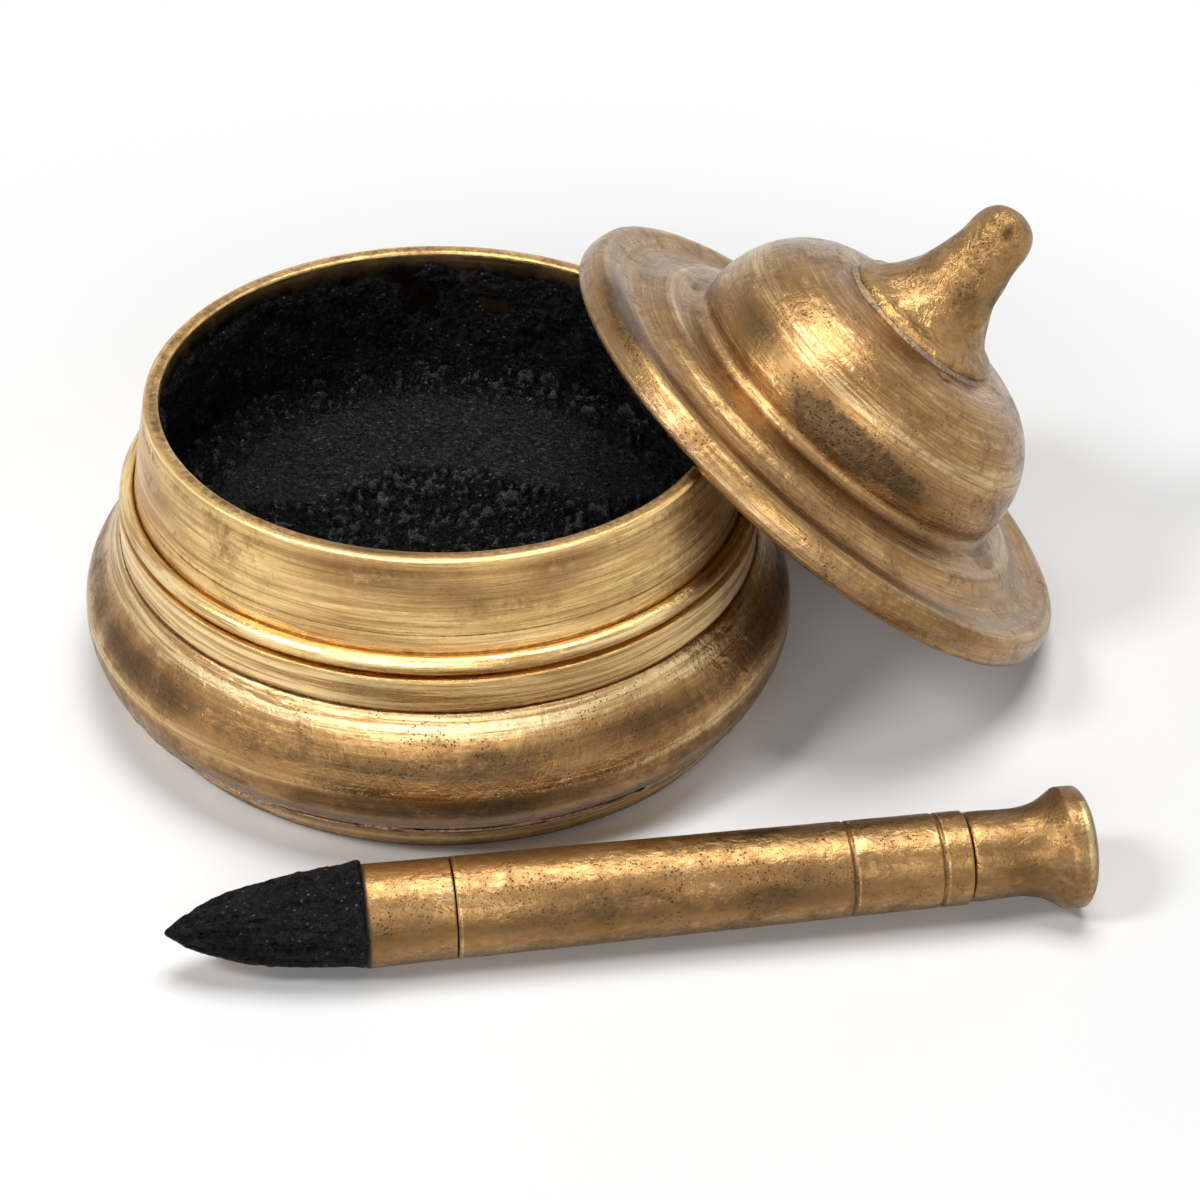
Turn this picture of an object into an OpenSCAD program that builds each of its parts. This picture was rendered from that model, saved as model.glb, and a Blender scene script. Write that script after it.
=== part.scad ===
// Kohl container: a squat brass pot with its domed lid leaning on the rim
// and its kohl stick lying in front. Millimetres, +Z up, origin at the
// centre of the pot's flat base, on the table.

/* [Pot] */
// Height of the pot from the table to the rim
pot_h = 25.2; // [22:0.1:30]
// Widest radius of the belly
belly_r = 29; // [27.5:0.1:33]
// Height of the belly's widest line above the table
belly_h = 6.5; // [5:0.1:8]
// Radius of the belly's round shoulder, seen in section
belly_curve_r = 5.2; // [4:0.1:6]
// Radius of the bowl's lower edge, at the seam above the base disc
seam_r = 27.4; // [27:0.1:28]
// Height of the base disc, up to the seam
foot_h = 2.7; // [2.2:0.1:3.2]
// Radius of the base disc at the seam
disc_r = 27; // [26:0.1:27.4]
// Radius of the base disc's underside, on which the pot stands
foot_r = 25.9; // [24:0.1:26.5]
// Distance by which the base disc sits off centre, to the right
disc_right = 0.25; // [0:0.05:0.4]
// Distance by which the base disc sits off centre, to the front
disc_front = 0.3; // [0:0.05:0.4]
// Height of the solder band above the seam
solder_band_h = 0.8; // [0.4:0.1:1.2]
// Thickness of the base disc's floor
floor_t = 1.5; // [1:0.1:2]
// Wall thickness of the bowl
bowl_t = 1.5; // [1:0.1:2]
// Height of the crease between the belly and the band
band_z = 13; // [12:0.1:14]
// Distance by which the flat band stands out from the neck
band_out = 1.3; // [1.1:0.05:2.2]
// Height of the flat band
band_h = 3; // [2:0.1:4]
// Thickness of the round bead that lies on the band
bead_t = 1.6; // [1.2:0.1:2]
// Distance by which the bead stands out from the neck
bead_out = 1.15; // [1.05:0.05:1.5]
// Radius of the neck at its foot, behind the bead
neck_base_r = 24.5; // [24:0.1:25.2]
// Outer radius of the rim
rim_r = 23.35; // [22:0.05:24.4]
// Wall thickness of the neck and the rim
rim_t = 1.35; // [1:0.05:1.6]
// Rounding of the rim's lip
rim_round_r = 0.45; // [0.2:0.05:0.5]

/* [Kohl] */
// Height of the kohl's surface above the crease
kohl_up = 0.6; // [0.3:0.1:6]
// Depth of the hollow scraped into the kohl's middle
dish_h = 0.8; // [0.2:0.1:1.5]
// Height of the loose heap on the kohl
heap_h = 1.5; // [0.8:0.1:2.5]
// Radius of the ball whose cap is the heap
heap_ball_r = 30; // [24:0.5:36]
// Distance of the heap from the pot's centre, towards the front
heap_offset = 11; // [9:0.5:13]
// Thickness of the dried coat on the inside of the neck
coat_t = 0.35; // [0.2:0.05:0.6]
// Height of bare metal between the coat and the rim
coat_gap = 1.6; // [0.8:0.1:4]

/* [Lid] */
// Width of the flat ring under the lid's edge
seat_ring_w = 1.2; // [0.8:0.1:2]
// Side clearance between the lid's recess and the rim
lid_clearance = 0.6; // [0.3:0.05:0.9]
// Depth of the recess that fits over the rim
recess_h = 1.2; // [0.8:0.05:1.5]
// Height of the ridge on the rolled edge
roll_h = 2.85; // [2.4:0.05:3.1]
// Distance from the edge in to the start of the ridge
roll_w = 1; // [0.6:0.05:1.3]
// Width of the ridge
ridge_w = 0.9; // [0.5:0.1:1.3]
// Wall thickness of the lid
lid_t = 1; // [0.8:0.05:1.2]
// Radius of the cove's lowest line
cove_r = 21.2; // [20.5:0.1:22]
// Height of the cove's lowest line
cove_h = 2.4; // [2.25:0.05:2.8]
// Radius of the small step between the cove and the dome
step_r = 18.2; // [17.4:0.1:19]
// Height of the small step
step_h = 3.9; // [3.6:0.05:4.2]
// Radius of the groove round the dome's foot
groove_r = 16; // [15.7:0.1:16.4]
// Height of the groove round the dome's foot
groove_h = 4.2; // [4.1:0.05:4.6]
// Widest radius of the dome
dome_r = 15.5; // [14.2:0.1:15.6]
// Height of the dome's crown above the lid's edge
crown_h = 14.35; // [12:0.05:16]

/* [Finial] */
// Radius of the finial's flared foot
finial_r = 7.05; // [6:0.05:8]
// Height of the finial above the crown
finial_h = 12.25; // [9:0.05:14]
// Thickness of the finial's lip at its foot
finial_lip_t = 0.35; // [0.2:0.05:0.6]
// Radius of the finial's tenon through the crown
finial_tenon_r = 1.6; // [1.2:0.1:2.2]
// Radius of the tenon's hammered head inside the dome
rivet_r = 2.6; // [2.4:0.1:3.2]
// Thickness of the hammered head
rivet_t = 0.7; // [0.4:0.1:1]
// Distance by which the finial sits off the crown's centre
finial_off = 0.35; // [0:0.05:0.45]
// Width of the solder fillet round the finial's foot
solder_w = 0.6; // [0.4:0.05:0.9]

/* [Stick] */
// Length of the stick with its kohl
stick_len = 68.9; // [60:0.1:80]
// Length of the kohl that covers the point
kohl_tip_len = 14.3; // [11:0.1:17]
// Radius of the kohl at its thick end
kohl_tip_r = 3.84; // [3.8:0.02:4.1]
// Thickness of the kohl on the point
kohl_skin_t = 0.55; // [0.4:0.05:0.8]
// Distance by which the kohl sits higher than the stick's middle
kohl_tip_up = 0.25; // [0:0.05:0.3]
// Radius of the stick at the kohl's edge
point_r = 3.84; // [3.6:0.02:3.86]
// Length of the point piece that shows beyond the kohl
point_bare_len = 6.7; // [5:0.1:9]
// Radius of the shank at the pommel's end
shank_end_r = 3.58; // [3.4:0.02:3.7]
// Distance from the tip to the lone groove
lone_groove_at = 50.5; // [45:0.1:52]
// Distance of the paired groove from the pommel's seam
paired_groove_back = 2.2; // [1.6:0.1:3]
// Depth of a turned groove
groove_cut = 0.22; // [0.1:0.02:0.3]
// Width of a turned groove
groove_w = 0.4; // [0.3:0.05:0.6]
// Length of the pommel piece from its seam to its end
pommel_len = 9.4; // [9:0.1:12]
// Length of the pommel's straight neck
pommel_neck_len = 4.3; // [3:0.1:5]
// Radius of the pommel's neck
pommel_neck_r = 3.36; // [3:0.02:3.5]
// Widest radius of the pommel
pommel_r = 4.65; // [4.2:0.05:5]
// Width of the pommel's straight edge
pommel_edge_w = 1.5; // [1:0.1:2]
// Chamfer of the pommel's end
pommel_chamfer = 0.5; // [0.3:0.05:0.8]
// Radius of the tenons inside the stick
stick_tenon_r = 2.2; // [1.6:0.1:2.6]
// Length of the tenons inside the stick
stick_tenon_len = 6; // [4:0.5:9]

/* [Where the loose pieces lie] */
// Lean of the lid, from level
lean_tilt = 37.5; // [32:0.1:43]
// Direction in which the lid's axis leans, from +X
lean_turn = 11.2; // [0:0.1:20]
// Distance of the lid's centre to the side of that direction
lean_side = 2.6; // [0:0.1:5]
// Gap between the leaning lid and the rim
lean_gap = 0.25; // [0.2:0.05:0.5]
// Place of the stick's tip, to the left of the pot's centre
stick_tip_left = 17.4; // [14:0.1:22]
// Gap between the belly and the tip of the stick, to the front
stick_front_gap = 11.9; // [9:0.1:16]
// Turn of the stick, from +X
stick_turn = 10.4; // [4:0.1:14]

/* [Hidden] */
$fn = 96;

brass = [0.71, 0.55, 0.29];
solder_grey = [0.52, 0.49, 0.42];
kohl_black = [0.04, 0.035, 0.04];

arc_steps = 14;
tenon_clearance = 0.03;

// Points on a round stretch of a section
function arc_points(c, r, a0, a1, n) =
    [for (i = [0:n]) let (a = a0 + (a1 - a0) * i / n) [c[0] + r * cos(a), c[1] + r * sin(a)]];

// Angle at which a line from point p touches a circle, on the side given
function touch_angle(p, c, r, side) =
    atan2(p[1] - c[1], p[0] - c[0]) + side * acos(r / norm(p - c));

// Radius at height z of the line that touches the circle at angle a
function touch_line_r(c, r, a, z) = c[0] + r * cos(a) - (z - c[1] - r * sin(a)) * tan(a);

// Pot
belly_c = [belly_r - belly_curve_r, belly_h];
band_r = neck_base_r + band_out;
shoulder_a = touch_angle([band_r, band_z], belly_c, belly_curve_r, -1);
foot_a = touch_angle([seam_r, foot_h], belly_c, belly_curve_r, 1);
inner_curve_r = belly_curve_r - bowl_t;
neck_z = band_z + band_h;
neck_in_r = neck_base_r - rim_t;
mouth_r = rim_r - rim_t;
foot_edge_round = 0.4;
solder_in = 0.8;
solder_proud = 0.05;
solder_top_r = belly_c[0] + sqrt(pow(belly_curve_r, 2) - pow(foot_h + solder_band_h - belly_h, 2));
bead_c = [neck_base_r + bead_out - bead_t / 2, neck_z + bead_t / 2];
bead_top_a = acos((neck_base_r - bead_c[0]) / (bead_t / 2));
kohl_z = band_z + kohl_up;
coat_top_z = pot_h - coat_gap;

// Lid
recess_r = rim_r + lid_clearance;
lid_r = recess_r + seat_ring_w;
edge_chamfer = 0.3;
edge_h = 0.45;
roll_shares = [[0.12, 0.4], [0.35, 0.75], [0.65, 0.93], [1, 1]];
ridge_drop = 0.05;
step_round = 0.4;
groove_half_w = 0.5;
dome_foot_h = groove_h + 1.6;
dome_foot_r = dome_r - 0.2;
crown_in_h = crown_h - lid_t - 0.2;
dome_in_r = dome_r - lid_t - 0.3;

// Leaning lid: it stands on its edge and touches the rim
lid_z = (lid_r - edge_chamfer) * sin(lean_tilt);
rim_along_lid = (pot_h - lid_z) / sin(lean_tilt);
rim_reach = sqrt(pow(recess_r, 2) - pow(rim_along_lid, 2)) - lean_side - lean_gap;
rim_touch_x = sqrt(pow(rim_r, 2) - pow(rim_reach, 2));
lean_x = rim_touch_x + (pot_h - lid_z) / tan(lean_tilt);

// Stick: it lies on the point piece's edge and on the pommel
pommel_at = stick_len - pommel_len;
point_end = kohl_tip_len + point_bare_len;
pommel_rest_at = stick_len - pommel_chamfer - pommel_edge_w;
stick_pitch = asin((pommel_r - point_r) / (pommel_rest_at - kohl_tip_len));
stick_tip_z = point_r / cos(stick_pitch) - kohl_tip_len * sin(stick_pitch);
stick_tip_y = -(belly_r + stick_front_gap);

// Section of the bowl with its inside filled, from the seam to the crease
module bowl_outside_section() {
    polygon(concat(
        [[0, foot_h], [seam_r, foot_h]],
        arc_points(belly_c, belly_curve_r, foot_a, shoulder_a, arc_steps),
        [[band_r, band_z], [0, band_z]]));
}

// Section of the bowl's inside, from the floor to the crease
module bowl_inside_section() {
    polygon(concat(
        [[0, floor_t], [touch_line_r(belly_c, inner_curve_r, foot_a, floor_t), floor_t]],
        arc_points(belly_c, inner_curve_r, foot_a, shoulder_a, arc_steps),
        [[touch_line_r(belly_c, inner_curve_r, shoulder_a, band_z), band_z], [0, band_z]]));
}

// Band of solder let into the bowl's lower edge, just above the seam
module base_solder_section() {
    solder_top = foot_h + solder_band_h;
    polygon([
        [seam_r - solder_in, foot_h],
        [seam_r + solder_proud, foot_h],
        [solder_top_r + solder_proud, solder_top - 0.1],
        [solder_top_r - 0.2, solder_top]]);
}

module base_disc() {
    color(brass)
        difference() {
            translate([disc_right, -disc_front, 0])
                rotate_extrude()
                    polygon([
                        [0, 0],
                        [foot_r - foot_edge_round, 0],
                        [foot_r, foot_edge_round],
                        [disc_r, foot_h - 0.2],
                        [disc_r - 0.1, foot_h],
                        [0, foot_h]]);
            rotate_extrude()
                bowl_inside_section();
        }
}

module base_solder() {
    color(solder_grey)
        rotate_extrude()
            base_solder_section();
}

module bowl() {
    color(brass)
        rotate_extrude()
            difference() {
                bowl_outside_section();
                bowl_inside_section();
                base_solder_section();
            }
}

// Inside of the neck: one straight taper from the crease to the lip's rounding
function neck_in_at(z) =
    neck_in_r + (mouth_r - neck_in_r) * (z - band_z) / (pot_h - rim_round_r - band_z);

module neck_collar() {
    outer_lip = [rim_r - rim_round_r, pot_h - rim_round_r];
    inner_lip = [mouth_r + rim_round_r, pot_h - rim_round_r];
    color(brass)
        rotate_extrude()
            polygon(concat(
                [[neck_in_r, band_z], [band_r, band_z], [band_r, neck_z], [neck_base_r, neck_z]],
                [[neck_base_r, neck_z + bead_t * 0.8]],
                arc_points(outer_lip, rim_round_r, 0, 90, 6),
                arc_points(inner_lip, rim_round_r, 90, 180, 6)));
}

// Half-round bead: flat where it meets the band and the neck
module neck_bead() {
    color(brass)
        rotate_extrude()
            polygon(concat(
                [[neck_base_r, neck_z], [bead_c[0], neck_z]],
                arc_points(bead_c, bead_t / 2, -85, bead_top_a, 12),
                [[neck_base_r, neck_z + bead_t * 0.8]]));
}

module kohl_fill() {
    edge_r = neck_in_at(kohl_z);
    color(kohl_black)
        union() {
            rotate_extrude()
                bowl_inside_section();
            rotate_extrude()
                polygon([
                    [0, band_z - 1],
                    [neck_in_r - 1, band_z - 1],
                    [neck_in_r, band_z],
                    [edge_r, kohl_z],
                    [edge_r * 0.72, kohl_z - dish_h * 0.5],
                    [edge_r * 0.42, kohl_z - dish_h * 0.9],
                    [0, kohl_z - dish_h]]);
            intersection() {
                translate([0, -heap_offset, kohl_z + heap_h - heap_ball_r])
                    sphere(heap_ball_r);
                translate([0, 0, band_z - 1])
                    cylinder(h = pot_h - band_z, r = edge_r - 2 * coat_t);
            }
        }
}

module kohl_wall_coat() {
    color(kohl_black)
        rotate_extrude()
            polygon([
                [neck_in_at(kohl_z) - coat_t, kohl_z],
                [neck_in_at(kohl_z), kohl_z],
                [neck_in_at(coat_top_z), coat_top_z],
                [neck_in_at(coat_top_z) - coat_t, coat_top_z]]);
}

// Puts a piece of the lid, drawn on its own axis, where the lid leans
module on_lid() {
    rotate([0, 0, lean_turn])
        translate([lean_x, lean_side, lid_z])
            rotate([0, lean_tilt, 0])
                children();
}

// Dome curve from its foot to the finial, for the outside and the inside
function dome_points(foot_r, top_r, foot_h, top_h) =
    [for (a = [0:10:80]) [top_r + (foot_r - top_r) * pow(cos(a), 0.9), foot_h + (top_h - foot_h) * sin(a)]];

function lid_outside_points() = concat(
    [[0, 0], [lid_r - edge_chamfer, 0], [lid_r, edge_h]],
    [for (s = roll_shares) [lid_r - roll_w * s[0], roll_h * s[1]]],
    [[lid_r - roll_w - ridge_w, roll_h - ridge_drop]],
    [[cove_r, cove_h], [cove_r - (cove_r - step_r) * 0.55, cove_h + (step_h - cove_h) * 0.45]],
    [[step_r + step_round, step_h - ridge_drop], [step_r - step_round, step_h]],
    [[groove_r + groove_half_w, groove_h], [groove_r, groove_h - ridge_drop]],
    [[dome_foot_r, groove_h + groove_half_w]],
    dome_points(dome_r, finial_r, dome_foot_h, crown_h),
    [[finial_r, crown_h], [0, crown_h]]);

module lid_inside_section() {
    polygon(concat(
        [[0, -1], [recess_r, -1], [recess_r, recess_h], [cove_r, cove_h - lid_t]],
        [[step_r - 0.4, step_h - lid_t], [groove_r - lid_t, groove_h - lid_t + 0.2]],
        dome_points(dome_in_r, finial_r, dome_foot_h, crown_in_h),
        [[finial_r, crown_in_h], [0, crown_in_h]]));
}

module lid_shell() {
    color(brass)
        on_lid()
            difference() {
                rotate_extrude()
                    difference() {
                        polygon(lid_outside_points());
                        lid_inside_section();
                    }
                off_centre()
                    cylinder(h = 2 * crown_h, r = finial_tenon_r + tenon_clearance);
            }
}

// Finial's outline: share of its foot radius against share of its height
finial_shares = [[0.97, 0.045], [0.83, 0.1], [0.66, 0.215], [0.535, 0.355], [0.455, 0.515],
    [0.415, 0.67], [0.405, 0.77], [0.36, 0.87], [0.26, 0.945], [0.13, 0.985], [0, 1]];

module finial_section() {
    polygon(concat(
        [[0, crown_in_h - rivet_t], [rivet_r, crown_in_h - rivet_t], [rivet_r, crown_in_h]],
        [[finial_tenon_r, crown_in_h], [finial_tenon_r, crown_h], [finial_r, crown_h]],
        [[finial_r, crown_h + finial_lip_t]],
        [for (s = finial_shares) [finial_r * s[0], crown_h + finial_lip_t + (finial_h - finial_lip_t) * s[1]]]));
}

// Moves the finial off the crown's centre, to its upper side
module off_centre() {
    translate([-finial_off, 0, 0])
        children();
}

module finial() {
    color(brass)
        on_lid()
            off_centre()
                rotate_extrude()
                    finial_section();
}

// Fillet of solder in the corner between the crown and the finial's lip
module finial_solder() {
    color(solder_grey)
        on_lid()
            difference() {
                off_centre()
                    rotate_extrude()
                        polygon([
                            [finial_r, crown_h + finial_lip_t * 0.8],
                            [finial_r, crown_h - solder_w],
                            [finial_r + solder_w, crown_h - solder_w],
                            [finial_r + solder_w, crown_h - 0.02]]);
                rotate_extrude()
                    polygon(lid_outside_points());
            }
}

// Puts a piece of the stick, drawn upwards from the tip, where it lies
module on_stick() {
    translate([-stick_tip_left, stick_tip_y, stick_tip_z])
        rotate([0, 0, stick_turn])
            rotate([0, 90 - stick_pitch, 0])
                children();
}

// Radius of the bare stick at a distance from the tip
function stick_r_at(s) =
    point_r + (shank_end_r - point_r) * (s - kohl_tip_len) / (pommel_at - kohl_tip_len);

// Kohl's outline: share of its length against share of its end radius
tip_shares = [[0, 0.04], [0.055, 0.19], [0.155, 0.41], [0.295, 0.62], [0.52, 0.82], [0.7, 0.91],
    [0.87, 0.965], [0.96, 1]];

// Brass core inside the kohl, and the bare part of the point piece
function core_points() =
    [for (s = tip_shares) if (s[0] > 0.1 && s[0] < 0.9)
        [kohl_tip_r * s[1] - kohl_skin_t, kohl_tip_len * s[0]]];

module core_section() {
    polygon(concat(
        [[0, kohl_tip_len * 0.1]],
        core_points(),
        [[point_r - 0.15, kohl_tip_len], [0, kohl_tip_len]]));
}

module stick_point() {
    color(brass)
        on_stick() {
            rotate_extrude()
                union() {
                    core_section();
                    polygon([
                        [0, kohl_tip_len - 0.5],
                        [kohl_tip_r - 2 * kohl_skin_t, kohl_tip_len - 0.5],
                        [point_r - 0.15, kohl_tip_len],
                        [point_r, kohl_tip_len],
                        [stick_r_at(point_end) - 0.02, point_end - 0.15],
                        [stick_r_at(point_end) - 0.2, point_end],
                        [stick_tenon_r, point_end],
                        [stick_tenon_r, point_end + stick_tenon_len],
                        [0, point_end + stick_tenon_len]]);
                }
        }
}

module stick_shank() {
    grooves = [lone_groove_at, pommel_at - paired_groove_back];
    color(brass)
        on_stick()
            rotate_extrude()
                difference() {
                    polygon([
                        [0, point_end],
                        [stick_r_at(point_end) - 0.2, point_end],
                        [stick_r_at(point_end), point_end + 0.15],
                        [stick_r_at(pommel_at), pommel_at - 0.15],
                        [stick_r_at(pommel_at) - 0.2, pommel_at],
                        [0, pommel_at]]);
                    for (g = grooves)
                        translate([stick_r_at(g) - groove_cut, g - groove_w / 2])
                            square([2 * groove_cut, groove_w]);
                    translate([0, point_end])
                        square([stick_tenon_r + tenon_clearance, stick_tenon_len + tenon_clearance]);
                    translate([0, pommel_at - stick_tenon_len - tenon_clearance])
                        square([stick_tenon_r + tenon_clearance, stick_tenon_len + tenon_clearance]);
                }
}

module stick_pommel() {
    flare_at = pommel_at + pommel_neck_len;
    edge_end = stick_len - pommel_chamfer;
    edge_at = edge_end - pommel_edge_w;
    color(brass)
        on_stick()
            rotate_extrude()
                polygon([
                    [0, pommel_at - stick_tenon_len],
                    [stick_tenon_r, pommel_at - stick_tenon_len],
                    [stick_tenon_r, pommel_at],
                    [pommel_neck_r - 0.15, pommel_at],
                    [pommel_neck_r, pommel_at + 0.15],
                    [pommel_neck_r, flare_at],
                    [pommel_neck_r + (pommel_r - pommel_neck_r) * 0.28, flare_at + (edge_at - flare_at) * 0.5],
                    [pommel_r, edge_at],
                    [pommel_r, edge_end],
                    [pommel_r - pommel_chamfer, stick_len - 0.1],
                    [pommel_r - pommel_chamfer - 0.4, stick_len],
                    [0, stick_len]]);
}

module stick_kohl_tip() {
    color(kohl_black)
        on_stick()
            difference() {
                translate([-kohl_tip_up, 0, 0])
                    rotate_extrude()
                        polygon(concat(
                            [[0, 0]],
                            [for (s = tip_shares) [kohl_tip_r * s[1], kohl_tip_len * s[0]]],
                            [[kohl_tip_r, kohl_tip_len], [0, kohl_tip_len]]));
                rotate_extrude()
                    core_section();
            }
}

base_disc();
base_solder();
bowl();
neck_collar();
neck_bead();
kohl_fill();
kohl_wall_coat();
lid_shell();
finial();
finial_solder();
stick_point();
stick_shank();
stick_pommel();
stick_kohl_tip();
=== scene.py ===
import math
import bpy
import numpy as np
from mathutils import Matrix, Vector


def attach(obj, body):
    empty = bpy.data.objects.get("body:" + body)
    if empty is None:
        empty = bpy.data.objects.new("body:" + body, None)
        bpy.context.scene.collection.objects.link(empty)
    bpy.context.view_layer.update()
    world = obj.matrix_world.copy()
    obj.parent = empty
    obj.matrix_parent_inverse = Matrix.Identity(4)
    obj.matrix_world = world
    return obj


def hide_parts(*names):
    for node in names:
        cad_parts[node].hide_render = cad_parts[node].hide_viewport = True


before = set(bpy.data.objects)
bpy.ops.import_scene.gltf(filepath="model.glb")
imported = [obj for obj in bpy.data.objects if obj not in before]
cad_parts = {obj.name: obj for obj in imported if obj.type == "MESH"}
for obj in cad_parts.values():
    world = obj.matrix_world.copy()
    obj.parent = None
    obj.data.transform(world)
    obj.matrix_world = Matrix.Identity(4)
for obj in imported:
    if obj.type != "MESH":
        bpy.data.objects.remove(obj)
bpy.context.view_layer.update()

MM = 0.001
TAU = 2 * math.pi


# ---- camera: the photograph's viewing angle, worked out from the pot's ellipses ----

PHOTO_PX, FOCAL_PX, SENSOR_MM = 1200, 3015.61, 36
SHIFT_X_PX, SHIFT_Y_PX = -0.80, -6.57
CAMERA_PITCH, CAMERA_ROLL = 0.627162, 0.0354848  # radians
CAMERA_AT = (13.279, -202.160, 152.428)  # mm


def make_camera():
    forward = Vector((0, math.cos(CAMERA_PITCH), -math.sin(CAMERA_PITCH)))
    level_up = Vector((0, math.sin(CAMERA_PITCH), math.cos(CAMERA_PITCH)))
    level_right = Vector((1, 0, 0))
    right = math.cos(CAMERA_ROLL) * level_right + math.sin(CAMERA_ROLL) * level_up
    up = -math.sin(CAMERA_ROLL) * level_right + math.cos(CAMERA_ROLL) * level_up
    data = bpy.data.cameras.new("camera")
    data.lens = SENSOR_MM * FOCAL_PX / PHOTO_PX
    data.sensor_width = SENSOR_MM
    data.shift_x = SHIFT_X_PX / PHOTO_PX
    data.shift_y = SHIFT_Y_PX / PHOTO_PX
    data.clip_start = 0.01
    camera = bpy.data.objects.new("camera", data)
    bpy.context.scene.collection.objects.link(camera)
    axes = Matrix((right, up, -forward)).transposed().to_4x4()
    camera.matrix_world = Matrix.Translation(Vector(CAMERA_AT) * MM) @ axes
    bpy.context.scene.camera = camera


# ---- smooth noise for shapes ----

HASH_X, HASH_Y, HASH_Z, HASH_SEED = 374761393, 668265263, 2147483647, 1274126177
LOW_32_BITS, LOW_16_BITS = 0xFFFFFFFF, 0xFFFF
OCTAVE_OFFSET = 17.3


def lattice(ix, iy, iz, seed):
    """A fixed value from 0 to 1 for each grid point and seed."""
    h = (ix * HASH_X + iy * HASH_Y + iz * HASH_Z + seed * HASH_SEED) & LOW_32_BITS
    h = ((h ^ (h >> 13)) * HASH_SEED) & LOW_32_BITS
    h = h ^ (h >> 16)
    return (h & LOW_16_BITS) / LOW_16_BITS


def noise(p, seed=0):
    """Smooth value noise from 0 to 1 at the points p, one cell per unit."""
    p = np.asarray(p, float)
    base = np.floor(p).astype(np.int64)
    t = p - base
    t = t * t * (3 - 2 * t)
    share = (1 - t, t)
    out = np.zeros(len(p))
    for dx in (0, 1):
        for dy in (0, 1):
            for dz in (0, 1):
                weight = share[dx][:, 0] * share[dy][:, 1] * share[dz][:, 2]
                out += weight * lattice(base[:, 0] + dx, base[:, 1] + dy, base[:, 2] + dz, seed)
    return out


def rough_noise(p, seed=0, octaves=4):
    """Noise from 0 to 1 with finer and weaker octaves on top."""
    total, amount, size = 0, 0, 1.0
    p = np.asarray(p, float)
    for k in range(octaves):
        total = total + size * noise(p * 2 ** k + OCTAVE_OFFSET * k, seed + k)
        amount += size
        size *= 0.5
    return total / amount


def step(x, lo, hi):
    """A smooth step from 0 at lo to 1 at hi. lo may be the larger one."""
    t = np.clip((x - lo) / (hi - lo), 0, 1)
    return t * t * (3 - 2 * t)


# ---- sections: stretches of points (radius, height) in mm, smooth inside, with a corner between two ----

FINE = 0.03  # mm between the points while corners are rounded
ON_AXIS = 0.01  # mm, a smaller radius is on the axis


def chain(start, *parts):
    """Stretches from start on, each beginning where the last one ends: a point ends a straight stretch, and a
    list holds the further points of a smooth one."""
    stretches, last = [], start
    for part in parts:
        further = part if isinstance(part, list) else [part]
        stretches.append([last] + further)
        last = further[-1]
    return stretches


def curve(points, spacing=0.15):
    """A smooth line through the points."""
    p = np.asarray(points, float)
    if len(p) == 2:
        n = max(2, int(np.hypot(*(p[1] - p[0])) / spacing) + 1)
        t = np.linspace(0, 1, n)[:, None]
        return p[0] * (1 - t) + p[1] * t
    out = []
    ext = np.vstack([2 * p[0] - p[1], p, 2 * p[-1] - p[-2]])
    for i in range(1, len(ext) - 2):
        a, b, c, d = ext[i - 1], ext[i], ext[i + 1], ext[i + 2]
        gaps = [max(1e-6, np.hypot(*(q - r))) ** 0.5 for q, r in ((b, a), (c, b), (d, c))]
        m1 = (c - b) + gaps[1] * ((b - a) / gaps[0] - (c - a) / (gaps[0] + gaps[1]))
        m2 = (c - b) + gaps[1] * ((d - c) / gaps[2] - (d - b) / (gaps[1] + gaps[2]))
        n = max(2, int(gaps[1] ** 2 / spacing) + 1)
        t = np.linspace(0, 1, n, endpoint=False)[:, None]
        out.append((2 * t**3 - 3 * t**2 + 1) * b + (t**3 - 2 * t**2 + t) * m1
                   + (-2 * t**3 + 3 * t**2) * c + (t**3 - t**2) * m2)
    out.append(p[-1:])
    return np.vstack(out)


def section(stretches, closed, rounding, spacing):
    """Joins the stretches, rounds their corners a little and spaces the points evenly."""
    p = np.vstack([curve(s) for s in stretches])
    keep = np.r_[True, np.hypot(*np.diff(p, axis=0).T) > 1e-6]
    p = p[keep]
    if closed:
        p = np.vstack([p, p[:1]])
    s = np.r_[0, np.cumsum(np.hypot(*np.diff(p, axis=0).T))]
    n = int(s[-1] / FINE) + 1
    fine_s = np.linspace(0, s[-1], n)
    fine = np.stack([np.interp(fine_s, s, p[:, k]) for k in (0, 1)], 1)
    half = int(3 * rounding / FINE) + 1
    kernel = np.exp(-0.5 * (np.arange(-half, half + 1) * FINE / rounding) ** 2)
    kernel /= kernel.sum()
    if closed:
        wrap = np.vstack([fine[-half - 1:-1], fine, fine[1:half + 1]])
    else:
        wrap = np.vstack([2 * fine[0] - fine[half:0:-1], fine, 2 * fine[-1] - fine[-2:-half - 2:-1]])
    fine = np.stack([np.convolve(wrap[:, k], kernel, "valid") for k in (0, 1)], 1)
    if not closed:
        fine[0, 0] = p[0, 0]
        fine[-1, 0] = p[-1, 0]
    pick = np.linspace(0, n - 1, int(s[-1] / spacing) + 1).astype(int)
    if closed:
        pick = pick[:-1]
    return fine[pick], fine_s[pick]


# ---- pieces ----

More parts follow.
